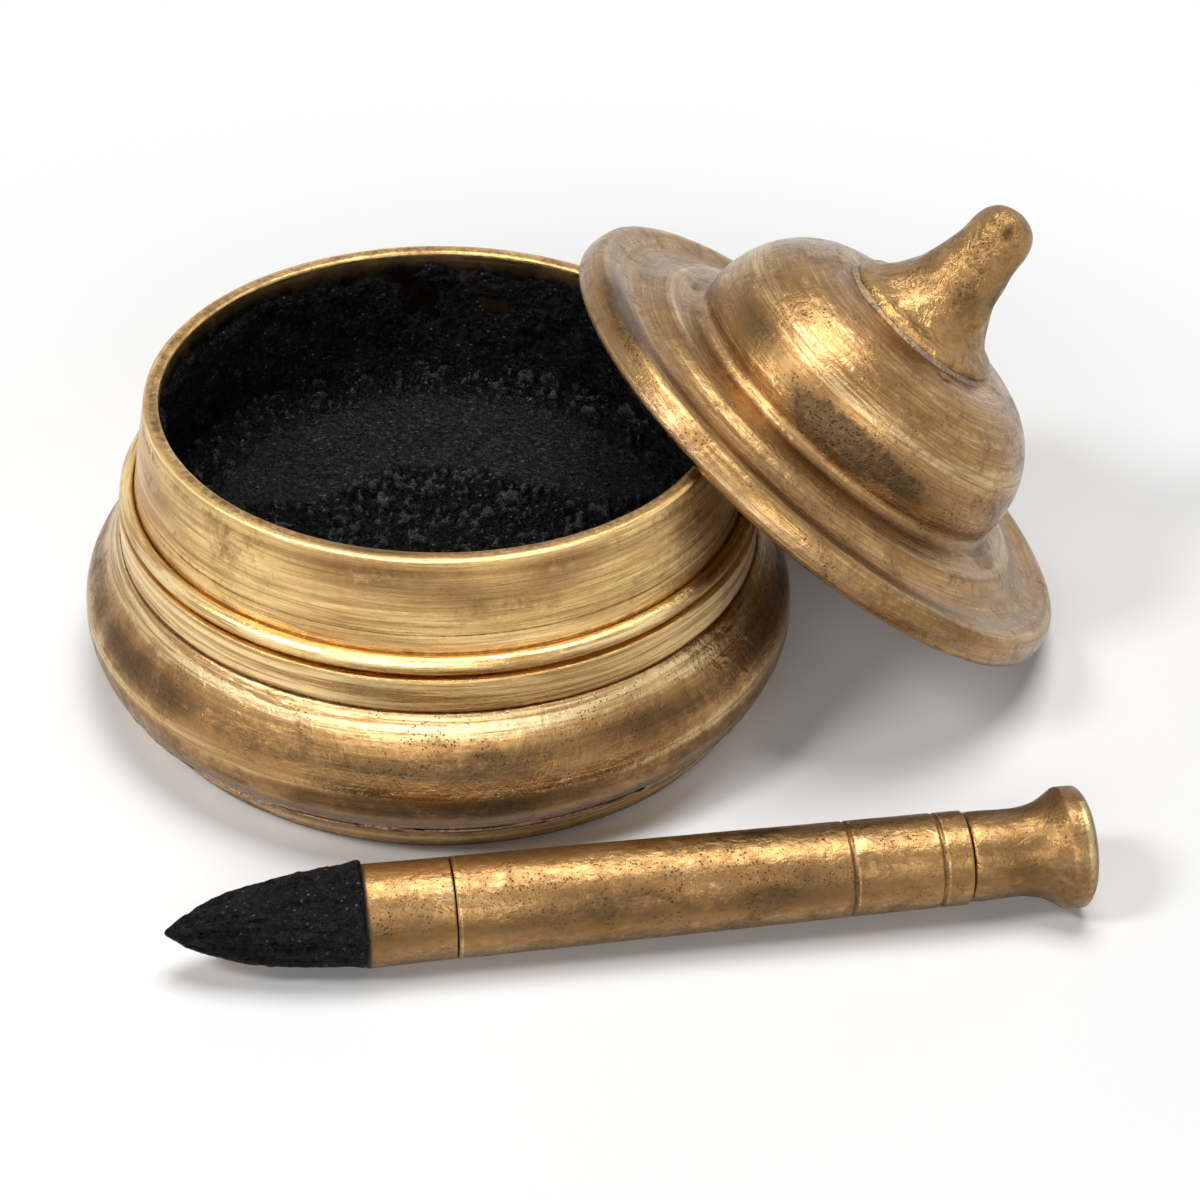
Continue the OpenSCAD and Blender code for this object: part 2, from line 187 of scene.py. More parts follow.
def make_piece(name, points, faces, spot, turn, place, body, nodes, material):
    """A mesh piece from points in mm on its own axis, put in place and tied to its body. The materials read
    spot, the place on the axis in mm, and turn, on a turned piece (cos, sin, length along the section)."""
    mesh = bpy.data.meshes.new(name)
    mesh.vertices.add(len(points))
    world = np.asarray(points) @ np.array(place.to_3x3()).T + np.array(place.translation)
    mesh.vertices.foreach_set("co", (world * MM).astype(np.float32).ravel())
    sizes = np.array([len(f) for f in faces])
    loops = np.concatenate([np.asarray(f) for f in faces])
    mesh.loops.add(len(loops))
    mesh.loops.foreach_set("vertex_index", loops)
    mesh.polygons.add(len(faces))
    mesh.polygons.foreach_set("loop_start", np.r_[0, np.cumsum(sizes)[:-1]])
    mesh.polygons.foreach_set("use_smooth", np.ones(len(faces), bool))
    mesh.update(calc_edges=True)
    mesh.validate()
    for key, values in (("spot", spot), ("turn", turn)):
        layer = mesh.attributes.new(key, "FLOAT_VECTOR", "POINT")
        layer.data.foreach_set("vector", np.asarray(values, np.float32).ravel())
    mesh.materials.append(material)
    piece = bpy.data.objects.new(name, mesh)
    bpy.context.scene.collection.objects.link(piece)
    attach(piece, body)
    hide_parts(*nodes)


def quads(rows, columns, closed_rows):
    """The faces of a grid that goes round in its columns, and also in its rows if closed_rows."""
    a = np.arange(rows if closed_rows else rows - 1)[:, None]
    b = np.arange(columns)[None, :]
    a2, b2 = (a + 1) % rows, (b + 1) % columns
    corners = (a * columns + b, a * columns + b2, a2 * columns + b2, a2 * columns + b)
    return np.stack(np.broadcast_arrays(*corners), -1).reshape(-1, 4)


def spin(r, z, cos, sin):
    """The points (r, z) turned round the axis, one row of points for each."""
    return np.stack([np.outer(r, cos), np.outer(r, sin), np.outer(z, np.ones(len(cos)))], -1).reshape(-1, 3)


def turned(name, stretches, place, body, nodes, material, closed=False, columns=256, uneven=0.05,
           change=None, rounding=0.09, spacing=0.2, seed=1):
    """A turned piece. uneven is how far the hand-worked surface dips in, in mm. change moves the points of
    the finished grid."""
    line, s = section(stretches, closed, rounding, spacing)
    if closed:
        tangent = np.roll(line, -1, 0) - np.roll(line, 1, 0)
    else:
        tangent = np.gradient(line, axis=0)
    tangent /= np.maximum(1e-9, np.hypot(*tangent.T))[:, None]
    normal = np.stack([tangent[:, 1], -tangent[:, 0]], 1)
    starts_on_axis = not closed and line[0, 0] < ON_AXIS
    ends_on_axis = not closed and line[-1, 0] < ON_AXIS
    rings = slice(int(starts_on_axis), len(line) - int(ends_on_axis))
    rows = len(line[rings])
    angle = np.arange(columns) * TAU / columns
    cos, sin = np.cos(angle), np.sin(angle)
    spot = spin(line[rings, 0], line[rings, 1], cos, sin)
    outward = spin(normal[rings, 0], normal[rings, 1], cos, sin)
    turn = np.stack([np.tile(cos, rows), np.tile(sin, rows), np.repeat(s[rings], columns)], -1)
    dip = uneven * (0.75 * rough_noise(spot * 0.14, seed, 3) + 0.25 * rough_noise(spot * 0.9, seed + 9, 3))
    points = spot - outward * dip[:, None]
    if change is not None:
        points = change(points, outward, turn)
    faces = list(quads(rows, columns, closed))
    for on_axis, row, end in ((starts_on_axis, 0, 0), (ends_on_axis, rows - 1, -1)):
        if not on_axis:
            continue
        tip = len(points)
        points = np.vstack([points, points[row * columns:(row + 1) * columns].mean(0)])
        spot = np.vstack([spot, [[0, 0, line[end, 1]]]])
        turn = np.vstack([turn, [[1, 0, s[end]]]])
        for c in range(columns):
            a, b = row * columns + c, row * columns + (c + 1) % columns
            faces.append((b, a, tip) if end == 0 else (a, b, tip))
    make_piece(name, points, faces, spot, turn, place, body, nodes, material)


# ---- materials ----

class Shader:
    """A short way to write the nodes of a material or of the world."""

    def __init__(self, name, world=False):
        self.owner = (bpy.data.worlds if world else bpy.data.materials).new(name)
        self.owner.use_nodes = True
        self.tree = self.owner.node_tree
        self.tree.nodes.clear()

    def add(self, kind, inputs=(), **settings):
        node = self.tree.nodes.new(kind)
        for key, value in settings.items():
            setattr(node, key, value)
        for key, value in dict(inputs).items():
            self.put(node.inputs[key], value)
        return node

    def put(self, socket, value):
        if isinstance(value, bpy.types.NodeSocket):
            self.tree.links.new(value, socket)
        elif isinstance(value, tuple) and len(value) == 3 and socket.type == "RGBA":
            socket.default_value = (*value, 1)
        else:
            socket.default_value = value

    def attribute(self, key):
        return self.add("ShaderNodeAttribute", attribute_name=key).outputs["Vector"]

    def split(self, vector):
        return self.add("ShaderNodeSeparateXYZ", {0: vector}).outputs

    def noise(self, vector, scale, detail, roughness, distortion=0):
        inputs = {"Vector": vector, "Scale": scale, "Detail": detail, "Roughness": roughness,
                  "Distortion": distortion}
        return self.add("ShaderNodeTexNoise", inputs).outputs["Fac"]

    def cells(self, vector, scale):
        inputs = {"Vector": vector, "Scale": scale, "Randomness": 1.0}
        return self.add("ShaderNodeTexVoronoi", inputs, feature="F1").outputs["Distance"]

    def stretch(self, vector, factors, offset=(0, 0, 0)):
        inputs = {"Vector": vector, "Scale": factors, "Location": offset}
        return self.add("ShaderNodeMapping", inputs).outputs["Vector"]

    def distance(self, a, b):
        return self.add("ShaderNodeVectorMath", {0: a, 1: b}, operation="DISTANCE").outputs["Value"]

    def length(self, vector):
        return self.add("ShaderNodeVectorMath", {0: vector}, operation="LENGTH").outputs["Value"]

    def math(self, operation, a, b=0.0, clamp=False):
        return self.add("ShaderNodeMath", {0: a, 1: b}, operation=operation, use_clamp=clamp).outputs[0]

    def weigh(self, *terms, clamp=False):
        """Sum of the terms (value, weight)."""
        parts = [value if weight == 1 else self.math("MULTIPLY", value, weight) for value, weight in terms]
        total = parts[0]
        for k in range(1, len(parts)):
            total = self.math("ADD", total, parts[k], clamp=clamp and k == len(parts) - 1)
        return total

    def centred(self, value):
        return self.math("SUBTRACT", value, 0.5)

    def ramp(self, value, lo, hi, out_lo=0.0, out_hi=1.0):
        inputs = {"Value": value, "From Min": lo, "From Max": hi, "To Min": out_lo, "To Max": out_hi}
        return self.add("ShaderNodeMapRange", inputs, interpolation_type="SMOOTHSTEP").outputs["Result"]

    def mix(self, factor, a, b):
        node = self.add("ShaderNodeMix", data_type="RGBA", blend_type="MIX")
        self.put(node.inputs["Factor"], factor)
        self.put(node.inputs[6], a)
        self.put(node.inputs[7], b)
        return node.outputs[2]

    def mix_value(self, factor, a, b):
        return self.add("ShaderNodeMix", {0: factor, 2: a, 3: b}, data_type="FLOAT").outputs[0]

    def bump(self, height, distance, normal=None, strength=1.0):
        """distance is in metres."""
        node = self.add("ShaderNodeBump", {"Height": height, "Distance": distance, "Strength": strength})
        if normal is not None:
            self.put(node.inputs["Normal"], normal)
        return node.outputs["Normal"]

    def backdrop_rays(self):
        """1 for rays from the camera, a mirror or glass, which see the white backdrop, 0 for the others."""
        path = self.add("ShaderNodeLightPath").outputs
        seen = self.math("MAXIMUM", path["Is Camera Ray"], path["Is Glossy Ray"])
        return self.math("MAXIMUM", seen, path["Is Transmission Ray"])

    def output(self, kind, shader):
        self.put(self.add(kind).inputs["Surface"], shader.outputs[0])
        return self.owner

    def finish(self, **sockets):
        inputs = {key.replace("_", " "): value for key, value in sockets.items()}
        return self.output("ShaderNodeOutputMaterial", self.add("ShaderNodeBsdfPrincipled", inputs))


# brass, from bare metal to patina
GOLD_PALE = (0.93, 0.735, 0.395)
GOLD_LIGHT = (0.81, 0.56, 0.222)
GOLD_DEEP = (0.555, 0.325, 0.125)
COPPERY = (0.52, 0.285, 0.12)
UMBER = (0.275, 0.146, 0.056)
DARK_UMBER = (0.13, 0.076, 0.03)
BROWN = (0.055, 0.032, 0.015)
BLACK_BROWN = (0.016, 0.010, 0.007)
DULL = (0.20, 0.145, 0.12)
SEED_STEP = (31.7, 12.3, 7.9)  # moves each brass to another place of the noise
MARKS_BUMP, WRINKLE_BUMP, PIT_BUMP = 0.00009, 0.0004, 0.00008  # metres

SOLDER_DARK, SOLDER_LIGHT, SOLDER_GRIME = (0.24, 0.185, 0.15), (0.40, 0.275, 0.13), (0.1, 0.075, 0.06)

KOHL_TINT = (1, 0.96, 1.08)
# painted glints: small bright flecks of this colour; the brown is a real stain
KOHL_PAINTED_GLINT, KOHL_STAIN = (0.26, 0.25, 0.265), (0.05, 0.024, 0.009)
CRUMB_BUMP, GRAIN_BUMP = 0.0012, 0.0003  # metres


def ring_sum(m, profile, rings, wobble):
    """Sum of the soft rings (radius, height, width, strength) round a piece's axis, with uneven edges."""
    total = 0.0
    for r, h, width, strength in rings:
        away = m.weigh((m.distance(profile, (r, h, 0.0)), 1), (wobble, 0.9 * width))
        total = m.math("ADD", total, m.ramp(away, 0.3 * width, 1.5 * width, strength, 0.0))
    return total


def spot_sum(m, bare_spot, patches, wobble):
    """Sum of the soft patches (centre, three half-widths, strength), all in mm on the piece's own axis."""
    total = 0.0
    for centre, half, strength in patches:
        moved = m.stretch(bare_spot, tuple(1 / h for h in half), tuple(-c / h for c, h in zip(centre, half)))
        away = m.weigh((m.length(moved), 1), (wobble, 3.6))
        total = m.math("ADD", total, m.ramp(away, 0.15, 1.45, strength, 0.0))
    return total


def brass(name, shift, *, tone, patina, streaks, pits, rough, creases_and_shade_bands, coppery=0.3, turns=3.0, fine=2.2,
          rubbed_and_highlit=(), stains=(), dull=(), wrinkle=0.5, soot=None, shade=1.0):
    """Old turned brass. tone (from deep to pale), patina, streaks and pits go from 0 to 1. turns and fine are
    how short the turning marks are round the axis and how narrow across. creases, rubbed and dull are rings
    (radius, height, width, strength): creases hold dark creases and also broad painted shade bands, rubbed
    holds worn pale places and also painted highlights. stains are patches (centre, half-widths, strength),
    patina and also painted dark reflections. soot is the inner wall that black powder has stained: (radius
    at height 0, taper, upper height). shade multiplies the colours of the bare metal and of the faint
    patina: per piece, partly the metal's own tone and partly painted light for how light falls on it."""
    m = Shader(name)
    # shade scales the colours per piece: partly the metal's own tone, partly painted light
    pale, light, gold, copper, umber = (tuple(shade * c for c in tint) for tint in
                                        (GOLD_PALE, GOLD_LIGHT, GOLD_DEEP, COPPERY, UMBER))
    bare_spot = m.attribute("spot")
    spot = m.stretch(bare_spot, (1, 1, 1), tuple(shift * size for size in SEED_STEP))
    turn = m.attribute("turn")
    x, y, z = m.split(bare_spot)
    squares = [m.math("POWER", m.math("ABSOLUTE", side), 2.0) for side in (x, y)]
    radius = m.math("POWER", m.math("ADD", *squares), 0.5)
    profile = m.add("ShaderNodeCombineXYZ", {0: radius, 1: z}).outputs[0]

    # noises: places, flecks and marks of turning
    broad = m.noise(spot, 0.085, 3, 0.5)
    middle = m.noise(spot, 0.31, 6, 0.66, 0.5)
    speckle = m.noise(spot, 1.7, 6, 0.74)
    streak = m.noise(m.stretch(turn, (turns, turns, fine), (shift, 0, 3 * shift)), 1.0, 6, 0.7, 0.35)
    hair_turns = turns * 2.6
    hair = m.noise(m.stretch(turn, (hair_turns, hair_turns, fine * 2.9), (0, shift, 0)), 1.0, 4, 0.62, 0.3)
    slow = m.noise(m.stretch(turn, (1.3, 1.3, fine * 0.2), (shift, 2, 0)), 1.0, 3, 0.5)
    wobble = m.centred(m.mix_value(0.45, middle, speckle))
    # ring and patch sums: dark creases and painted shade bands, worn places and painted highlights, stains
    # and painted dark reflections
    soil_and_shade = ring_sum(m, profile, creases_and_shade_bands, wobble)
    rub_and_highlight = ring_sum(m, profile, rubbed_and_highlit, wobble)
    stain_at = spot_sum(m, bare_spot, stains, wobble)

    # bare metal: pale and deep gold, coppery places, turning marks
    tint = m.weigh((broad, 0.5), (slow, 0.5))
    colour = m.mix(m.ramp(tint, 0.66 - 0.34 * tone, 0.86 - 0.34 * tone), gold, light)
    colour = m.mix(m.ramp(m.noise(spot, 0.19, 4, 0.6, 0.6), 0.46, 0.64, 0.0, coppery), colour, copper)
    colour = m.mix(m.ramp(streak, 0.40, 0.54, 0.85 * streaks, 0.0), colour, umber)
    colour = m.mix(m.ramp(streak, 0.52, 0.66, 0.0, 0.8 * streaks), colour, pale)
    colour = m.mix(m.ramp(hair, 0.37, 0.5, 0.75 * streaks, 0.0), colour, umber)
    colour = m.mix(m.ramp(hair, 0.56, 0.7, 0.0, 0.6 * streaks), colour, pale)
    # worn places and painted highlights turn pale
    colour = m.mix(m.math("MULTIPLY", rub_and_highlight, m.ramp(streak, 0.42, 0.58), clamp=True), colour, pale)

    # patina: faint and strong, most of it in the creases and stains, least where hands wear it bright; the
    # same sums add painted shade bands and painted dark reflections, and painted highlights keep it away
    stain = m.weigh((broad, 0.3), (middle, 0.55), (speckle, 0.5), (slow, 0.25), (streak, 0.35), (soil_and_shade, 0.25),
                    (stain_at, 0.15), (rub_and_highlight, -0.2))
    edge = 1.15 - 0.2 * patina
    faint = m.ramp(stain, edge - 0.13, edge + 0.08, 0.0, 0.75)
    strong = m.ramp(stain, edge + 0.01, edge + 0.22, 0.0, 0.85)
    colour = m.mix(faint, colour, umber)
    colour = m.mix(strong, colour, m.mix(m.ramp(speckle, 0.42, 0.68), BROWN, DARK_UMBER))
    if dull:
        colour = m.mix(ring_sum(m, profile, dull, wobble), colour, DULL)
    deep = m.ramp(m.math("MULTIPLY", soil_and_shade, m.math("ADD", speckle, 0.5)), 0.5, 1.05)
    colour = m.mix(deep, colour, BLACK_BROWN)
    if soot:
        soot_r, taper, soot_top = soot
        wall = m.weigh((radius, 1), (z, taper))
        height = m.weigh((z, 1), (wobble, 4.0))
        inside = m.math("MULTIPLY", m.ramp(wall, soot_r + 0.25, soot_r + 0.75, 1.0, 0.0),
                        m.ramp(height, soot_top - 1.2, soot_top + 0.2, 1.0, 0.0))
        colour = m.mix(m.math("MULTIPLY", inside, m.ramp(middle, 0.45, 0.66, 1.0, 0.88)), colour, BLACK_BROWN)
        deep = m.math("MAXIMUM", deep, inside)

    # pits and specks, larger where there is more patina
    cells = m.cells(m.stretch(spot, (1, 1, 1), (3, 1, 4)), 3.1)
    size = m.ramp(m.weigh((middle, 1), (stain_at, 0.08)), 0.42, 0.66, 0.05, 0.08 + 0.26 * pits)
    pit = m.ramp(m.math("DIVIDE", cells, size), 0.5, 1.15, 1.0, 0.0)
    colour = m.mix(m.math("MULTIPLY", pit, min(0.7, 1.2 * pits)), colour, BROWN)

    roughness = m.weigh((faint, 0.16), (rough, 1), (strong, 0.14), (m.centred(streak), 0.45 * streaks),
                        (m.centred(middle), 0.3), clamp=True)
    metal = m.ramp(m.weigh((strong, 0.7), (deep, 1)), 0.1, 1.0, 1.0, 0.82)
    marks = m.weigh((streak, 1.1 * streaks), (hair, 0.5 * streaks), (speckle, 0.5))
    dents = m.noise(m.stretch(spot, (1, 1, 1), (5, 5, 5)), 0.75, 4, 0.6, 0.8)
    normal = m.bump(marks, MARKS_BUMP, None, 0.8)
    normal = m.bump(dents, WRINKLE_BUMP * wrinkle, normal, 0.7)
    normal = m.bump(m.math("SUBTRACT", 1.0, pit), PIT_BUMP, normal, 0.8)
    return m.finish(Base_Color=colour, Roughness=roughness, Metallic=metal, Normal=normal)


def solder(name):
    """Dull soft solder with brassy and grimy places."""
    m = Shader(name)
    spot = m.attribute("spot")
    patch = m.noise(spot, 0.5, 5, 0.65, 0.4)
    grain = m.noise(spot, 4.0, 4, 0.6)
    colour = m.mix(m.ramp(patch, 0.36, 0.6), SOLDER_DARK, SOLDER_LIGHT)
    colour = m.mix(m.ramp(grain, 0.5, 0.7), colour, SOLDER_GRIME)
    normal = m.bump(m.weigh((patch, 0.8), (grain, 0.3)), GRAIN_BUMP)
    return m.finish(Base_Color=colour, Roughness=m.ramp(grain, 0.3, 0.7, 0.38, 0.6), Metallic=0.8,
                    Normal=normal)


def kohl(name, dark, light, gloss, coarse=1.0, stains=False, lumps=False):
    """Matt black powder and paste, with painted shade: dark between the crumbs, lighter on top of them, and
    small painted glints. With lumps, turn holds how loose the powder is and how high its crumbs stand, both
    from 0 to 1."""
    m = Shader(name)
    spot = m.attribute("spot")
    patch = m.noise(spot, 0.3, 5, 0.65, 0.5)
    crumb = m.noise(spot, 2.6 * coarse, 6, 0.7)
    grain = m.cells(spot, 6.0 * coarse)
    # painted glints: small bright flecks in the colour
    fleck = m.cells(m.stretch(spot, (1, 2.2, 1.5), (9, 2, 5)), 1.1)
    painted_glint = m.math("MULTIPLY", m.ramp(fleck, 0.07, 0.24, 1.0, 0.0), m.ramp(patch, 0.4, 0.6))
    # painted shade and light: the colour follows the crumbs' heights, darker in the hollows between them and
    # lighter on their tops
    if lumps:
        loose, crumb_height = m.split(m.attribute("turn"))[:2]
        high = m.weigh((crumb_height, 0.7), (crumb, 0.3))
        even = m.weigh((m.centred(crumb), 0.45), (0.478, 1))
        painted_crumb_shade = m.mix_value(loose, even, m.ramp(high, 0.4, 0.74, 0.38, 0.68))
    else:
        painted_crumb_shade = m.weigh((crumb, 0.75), (patch, 0.25))
    colour = m.mix(m.ramp(painted_crumb_shade, 0.42, 0.63), tuple(dark * c for c in KOHL_TINT),
                   tuple(light * c for c in KOHL_TINT))
    colour = m.mix(m.math("MULTIPLY", painted_glint, 0.85), colour, KOHL_PAINTED_GLINT)
    if stains:
        stain_at = m.ramp(m.noise(spot, 0.32, 4, 0.6, 0.3), 0.58, 0.72, 0.0, 0.6)
        colour = m.mix(stain_at, colour, KOHL_STAIN)
    rough = m.ramp(m.weigh((patch, 0.6), (crumb, 0.4)), 0.38, 0.6, 0.3, 0.6)
    normal = m.bump(crumb, CRUMB_BUMP)
    normal = m.bump(grain, GRAIN_BUMP, normal)
    return m.finish(Base_Color=colour, Roughness=rough, Normal=normal, Specular_IOR_Level=gloss)


# ---- the pot's sizes in mm, as in the frame ----

POT_H, RIM_R, RIM_T, RIM_ROUND, LIP_ROUND = 25.2, 23.35, 1.35, 0.45, 0.26
BELLY_R, BELLY_H, BELLY_CURVE = 29.0, 6.5, 5.2
SEAM_R, FOOT_H, DISC_R, FOOT_R = 27.4, 2.7, 27.0, 25.9
FLOOR_T, BOWL_T, SOLDER_H = 1.5, 1.5, 0.8
BAND_Z, BAND_R, BAND_H, BEAD_T, BEAD_OUT, NECK_BASE_R = 13.0, 25.8, 3.0, 1.6, 1.15, 24.5
KOHL_Z, KOHL_DISH, HEAP_H, HEAP_BALL, HEAP_OFF = 13.6, 0.8, 1.5, 30.0, 11.0
DISC_PLACE = Matrix.Translation((0.25, -0.3, 0))
HERE = Matrix.Identity(4)


def arc(c, r, a0, a1, n=14):
    """Points on a circle round c, from angle a0 to a1 in degrees."""
    a = np.radians(np.linspace(a0, a1, n + 1))
    return [(c[0] + r * math.cos(t), c[1] + r * math.sin(t)) for t in a]


def touch(p, c, r, side):
    """The angle at which a line from p touches the circle round c."""
    d = (p[0] - c[0], p[1] - c[1])
    return math.degrees(math.atan2(d[1], d[0])) + side * math.degrees(math.acos(r / math.hypot(*d)))


def line_r(c, r, a, z):
    """The radius at height z of the line that touches the circle at angle a."""
    a = math.radians(a)
    return c[0] + r * math.cos(a) - (z - c[1] - r * math.sin(a)) * math.tan(a)


NECK_Z = BAND_Z + BAND_H
NECK_TOP_IN_R = RIM_R - RIM_T
NECK_IN_R = NECK_BASE_R - RIM_T
NECK_TAPER = (NECK_IN_R - NECK_TOP_IN_R) / (POT_H - RIM_ROUND - BAND_Z)
BELLY_C = (BELLY_R - BELLY_CURVE, BELLY_H)
SHOULDER_A = touch((BAND_R, BAND_Z), BELLY_C, BELLY_CURVE, -1)
FOOT_A = touch((SEAM_R, FOOT_H), BELLY_C, BELLY_CURVE, 1)
INNER_CURVE = BELLY_CURVE - BOWL_T
BEAD_C = (NECK_BASE_R + BEAD_OUT - BEAD_T / 2, NECK_Z + BEAD_T / 2)
BEAD_TOP_A = math.degrees(math.acos((NECK_BASE_R - BEAD_C[0]) / (BEAD_T / 2)))
SOLDER_Z = FOOT_H + SOLDER_H
SOLDER_TOP_R = BELLY_C[0] + math.sqrt(BELLY_CURVE**2 - (SOLDER_Z - BELLY_H) ** 2)


def neck_in(z):
    """The neck's inner radius at height z."""
    return NECK_IN_R - NECK_TAPER * (z - BAND_Z)


# ---- the lid's and the stick's sizes in mm ----

RECESS_R, RECESS_H, LID_R, EDGE_CHAMFER, EDGE_H = 23.95, 1.2, 25.15, 0.3, 0.45
ROLL_W, ROLL_H, RIDGE_W, COVE_R, COVE_H, STEP_R, STEP_H = 1.0, 2.85, 0.9, 21.2, 2.4, 18.2, 3.9
GROOVE_R, GROOVE_H, DOME_R, CROWN_H, LID_T = 16.0, 4.2, 15.5, 14.35, 1.0
FINIAL_R, FINIAL_H, FINIAL_LIP, FINIAL_OFF, TENON_R = 7.05, 12.25, 0.35, 0.35, 1.6
RIVET_R, RIVET_H = 2.6, 0.7
CROWN_IN = CROWN_H - LID_T - 0.2
DOME_IN_R = DOME_R - LID_T - 0.3
DOME_FOOT_H = GROOVE_H + 1.6
FINIAL_TOP = CROWN_H + FINIAL_LIP
TILT, TURN, SIDE, GAP = 37.5, 11.2, 2.6, 0.25  # degrees, degrees, mm, mm

STICK_LEN, TIP_LEN, TIP_R, SKIN_T, TIP_UP = 68.9, 14.3, 3.84, 0.55, 0.25
POINT_R, BARE_LEN, SHANK_END_R, LONE_AT, PAIR_BACK = 3.84, 6.7, 3.58, 50.5, 2.2
GROOVE_CUT, GROOVE_W = 0.12, 0.3
POMMEL_LEN, POMMEL_NECK, POMMEL_NECK_R, POMMEL_R, POMMEL_EDGE, POMMEL_CH = 9.4, 4.3, 3.36, 4.65, 1.5, 0.5
PEG_R, PEG_LEN = 2.2, 6
STICK_X, STICK_AWAY, STICK_TURN = -17.4, 11.9, 10.4  # mm, mm in front of the belly, degrees
POMMEL_AT = STICK_LEN - POMMEL_LEN
POINT_END = TIP_LEN + BARE_LEN
TIP_SHARES = ((0, 0.04), (0.055, 0.19), (0.155, 0.41), (0.295, 0.62), (0.52, 0.82), (0.7, 0.91),
              (0.87, 0.965), (0.96, 1))  # (share of TIP_LEN, share of TIP_R)


def lid_place():
    """The lid leans: its edge is on the table and its underside on the rim."""
    t = math.radians(TILT)
    z = (LID_R - EDGE_CHAMFER) * math.sin(t)
    along = (POT_H - z) / math.sin(t)
    reach = math.sqrt(RECESS_R**2 - along**2) - SIDE - GAP
    x = math.sqrt(RIM_R**2 - reach**2) + (POT_H - z) / math.tan(t)
    return (Matrix.Rotation(math.radians(TURN), 4, "Z") @ Matrix.Translation((x, SIDE, z))
            @ Matrix.Rotation(t, 4, "Y"))


def stick_r(s):
    """The stick's radius at the length s from its tip, up to the pommel."""
    return POINT_R + (SHANK_END_R - POINT_R) * (s - TIP_LEN) / (POMMEL_AT - TIP_LEN)


def stick_place():
    """The stick lies on the table, on its pommel's edge and on the end of its point."""
    rest = STICK_LEN - POMMEL_CH - POMMEL_EDGE
    pitch = math.asin((POMMEL_R - POINT_R) / (rest - TIP_LEN))
    z = POINT_R / math.cos(pitch) - TIP_LEN * math.sin(pitch)
    return (Matrix.Translation((STICK_X, -(BELLY_R + STICK_AWAY), z))
            @ Matrix.Rotation(math.radians(STICK_TURN), 4, "Z")
            @ Matrix.Rotation(math.radians(90) - pitch, 4, "Y"))


# ---- pot ----

def lumpy(depth, across, along, lo, seed):
    """A change for a band of solder: it dips up to depth mm where the noise is above lo."""
    def change(p, n, turn):
        lump = rough_noise(turn * np.array([across, across, along]), seed)
        return p - n * (depth * step(lump, lo, 0.7))[:, None]
    return change


def foot_brass():
    return brass("brass_foot", 1.0, tone=0.42, patina=0.7, streaks=0.5, pits=0.4, rough=0.36, fine=2.6,
                 creases_and_shade_bands=[(DISC_R, FOOT_H, 0.18, 1.4), (FOOT_R, 0.1, 0.5, 0.8)],
                 rubbed_and_highlit=[(DISC_R - 0.5, 1.6, 0.5, 0.5)], dull=[(8.0, 0.0, 16.0, 0.35)])


def bowl_brass():
    return brass("brass_bowl", 2.0, shade=0.88, tone=0.55, patina=0.62, streaks=0.45, pits=0.75, coppery=0.35,
                 rough=0.25, turns=1.6, fine=1.7,
                 # painted shade: the broad rings at heights 9.6 and 5.9 darken the lower belly all round; the
                 # band's crease and the seam are real dark lines
                 creases_and_shade_bands=[(BAND_R, BAND_Z, 0.09, 0.9), (28.2, 9.6, 1.3, 0.55), (28.9, 5.9, 0.9, 0.5),
                          (SEAM_R, FOOT_H, 0.25, 1.2)],
                 # painted highlights: the pale rings under the band's crease, at height 7.4 and near the
                 # bottom stand for reflected light
                 rubbed_and_highlit=[(26.5, 12.2, 1.0, 0.9), (28.9, 7.4, 0.4, 0.6), (28.0, 3.4, 0.3, 0.3)],
                 dull=[(28.55, 4.5, 0.5, 0.8)],
                 stains=[((-19.7, -17.2, 11.5), (9.0, 8.0, 3.6), 0.5),
                         ((-21.5, -18.6, 9.0), (6.0, 6.0, 3.2), 0.25),
                         ((16.5, -21.1, 11.2), (7.0, 6.0, 2.4), 1.0),
                         # painted dark reflections, partly patina: the two wide patches across the front at
                         # heights 9.6 and 6.6
                         ((5.0, -28.0, 9.6), (13.0, 4.0, 1.8), 0.7),
                         ((3.0, -28.5, 6.6), (17.0, 4.0, 2.0), 0.9),
                         ((-9.0, 26.5, 10.0), (7.0, 5.0, 2.6), 0.9),
                         ((24.0, 14.0, 9.0), (4.0, 7.0, 3.0), 0.9)])


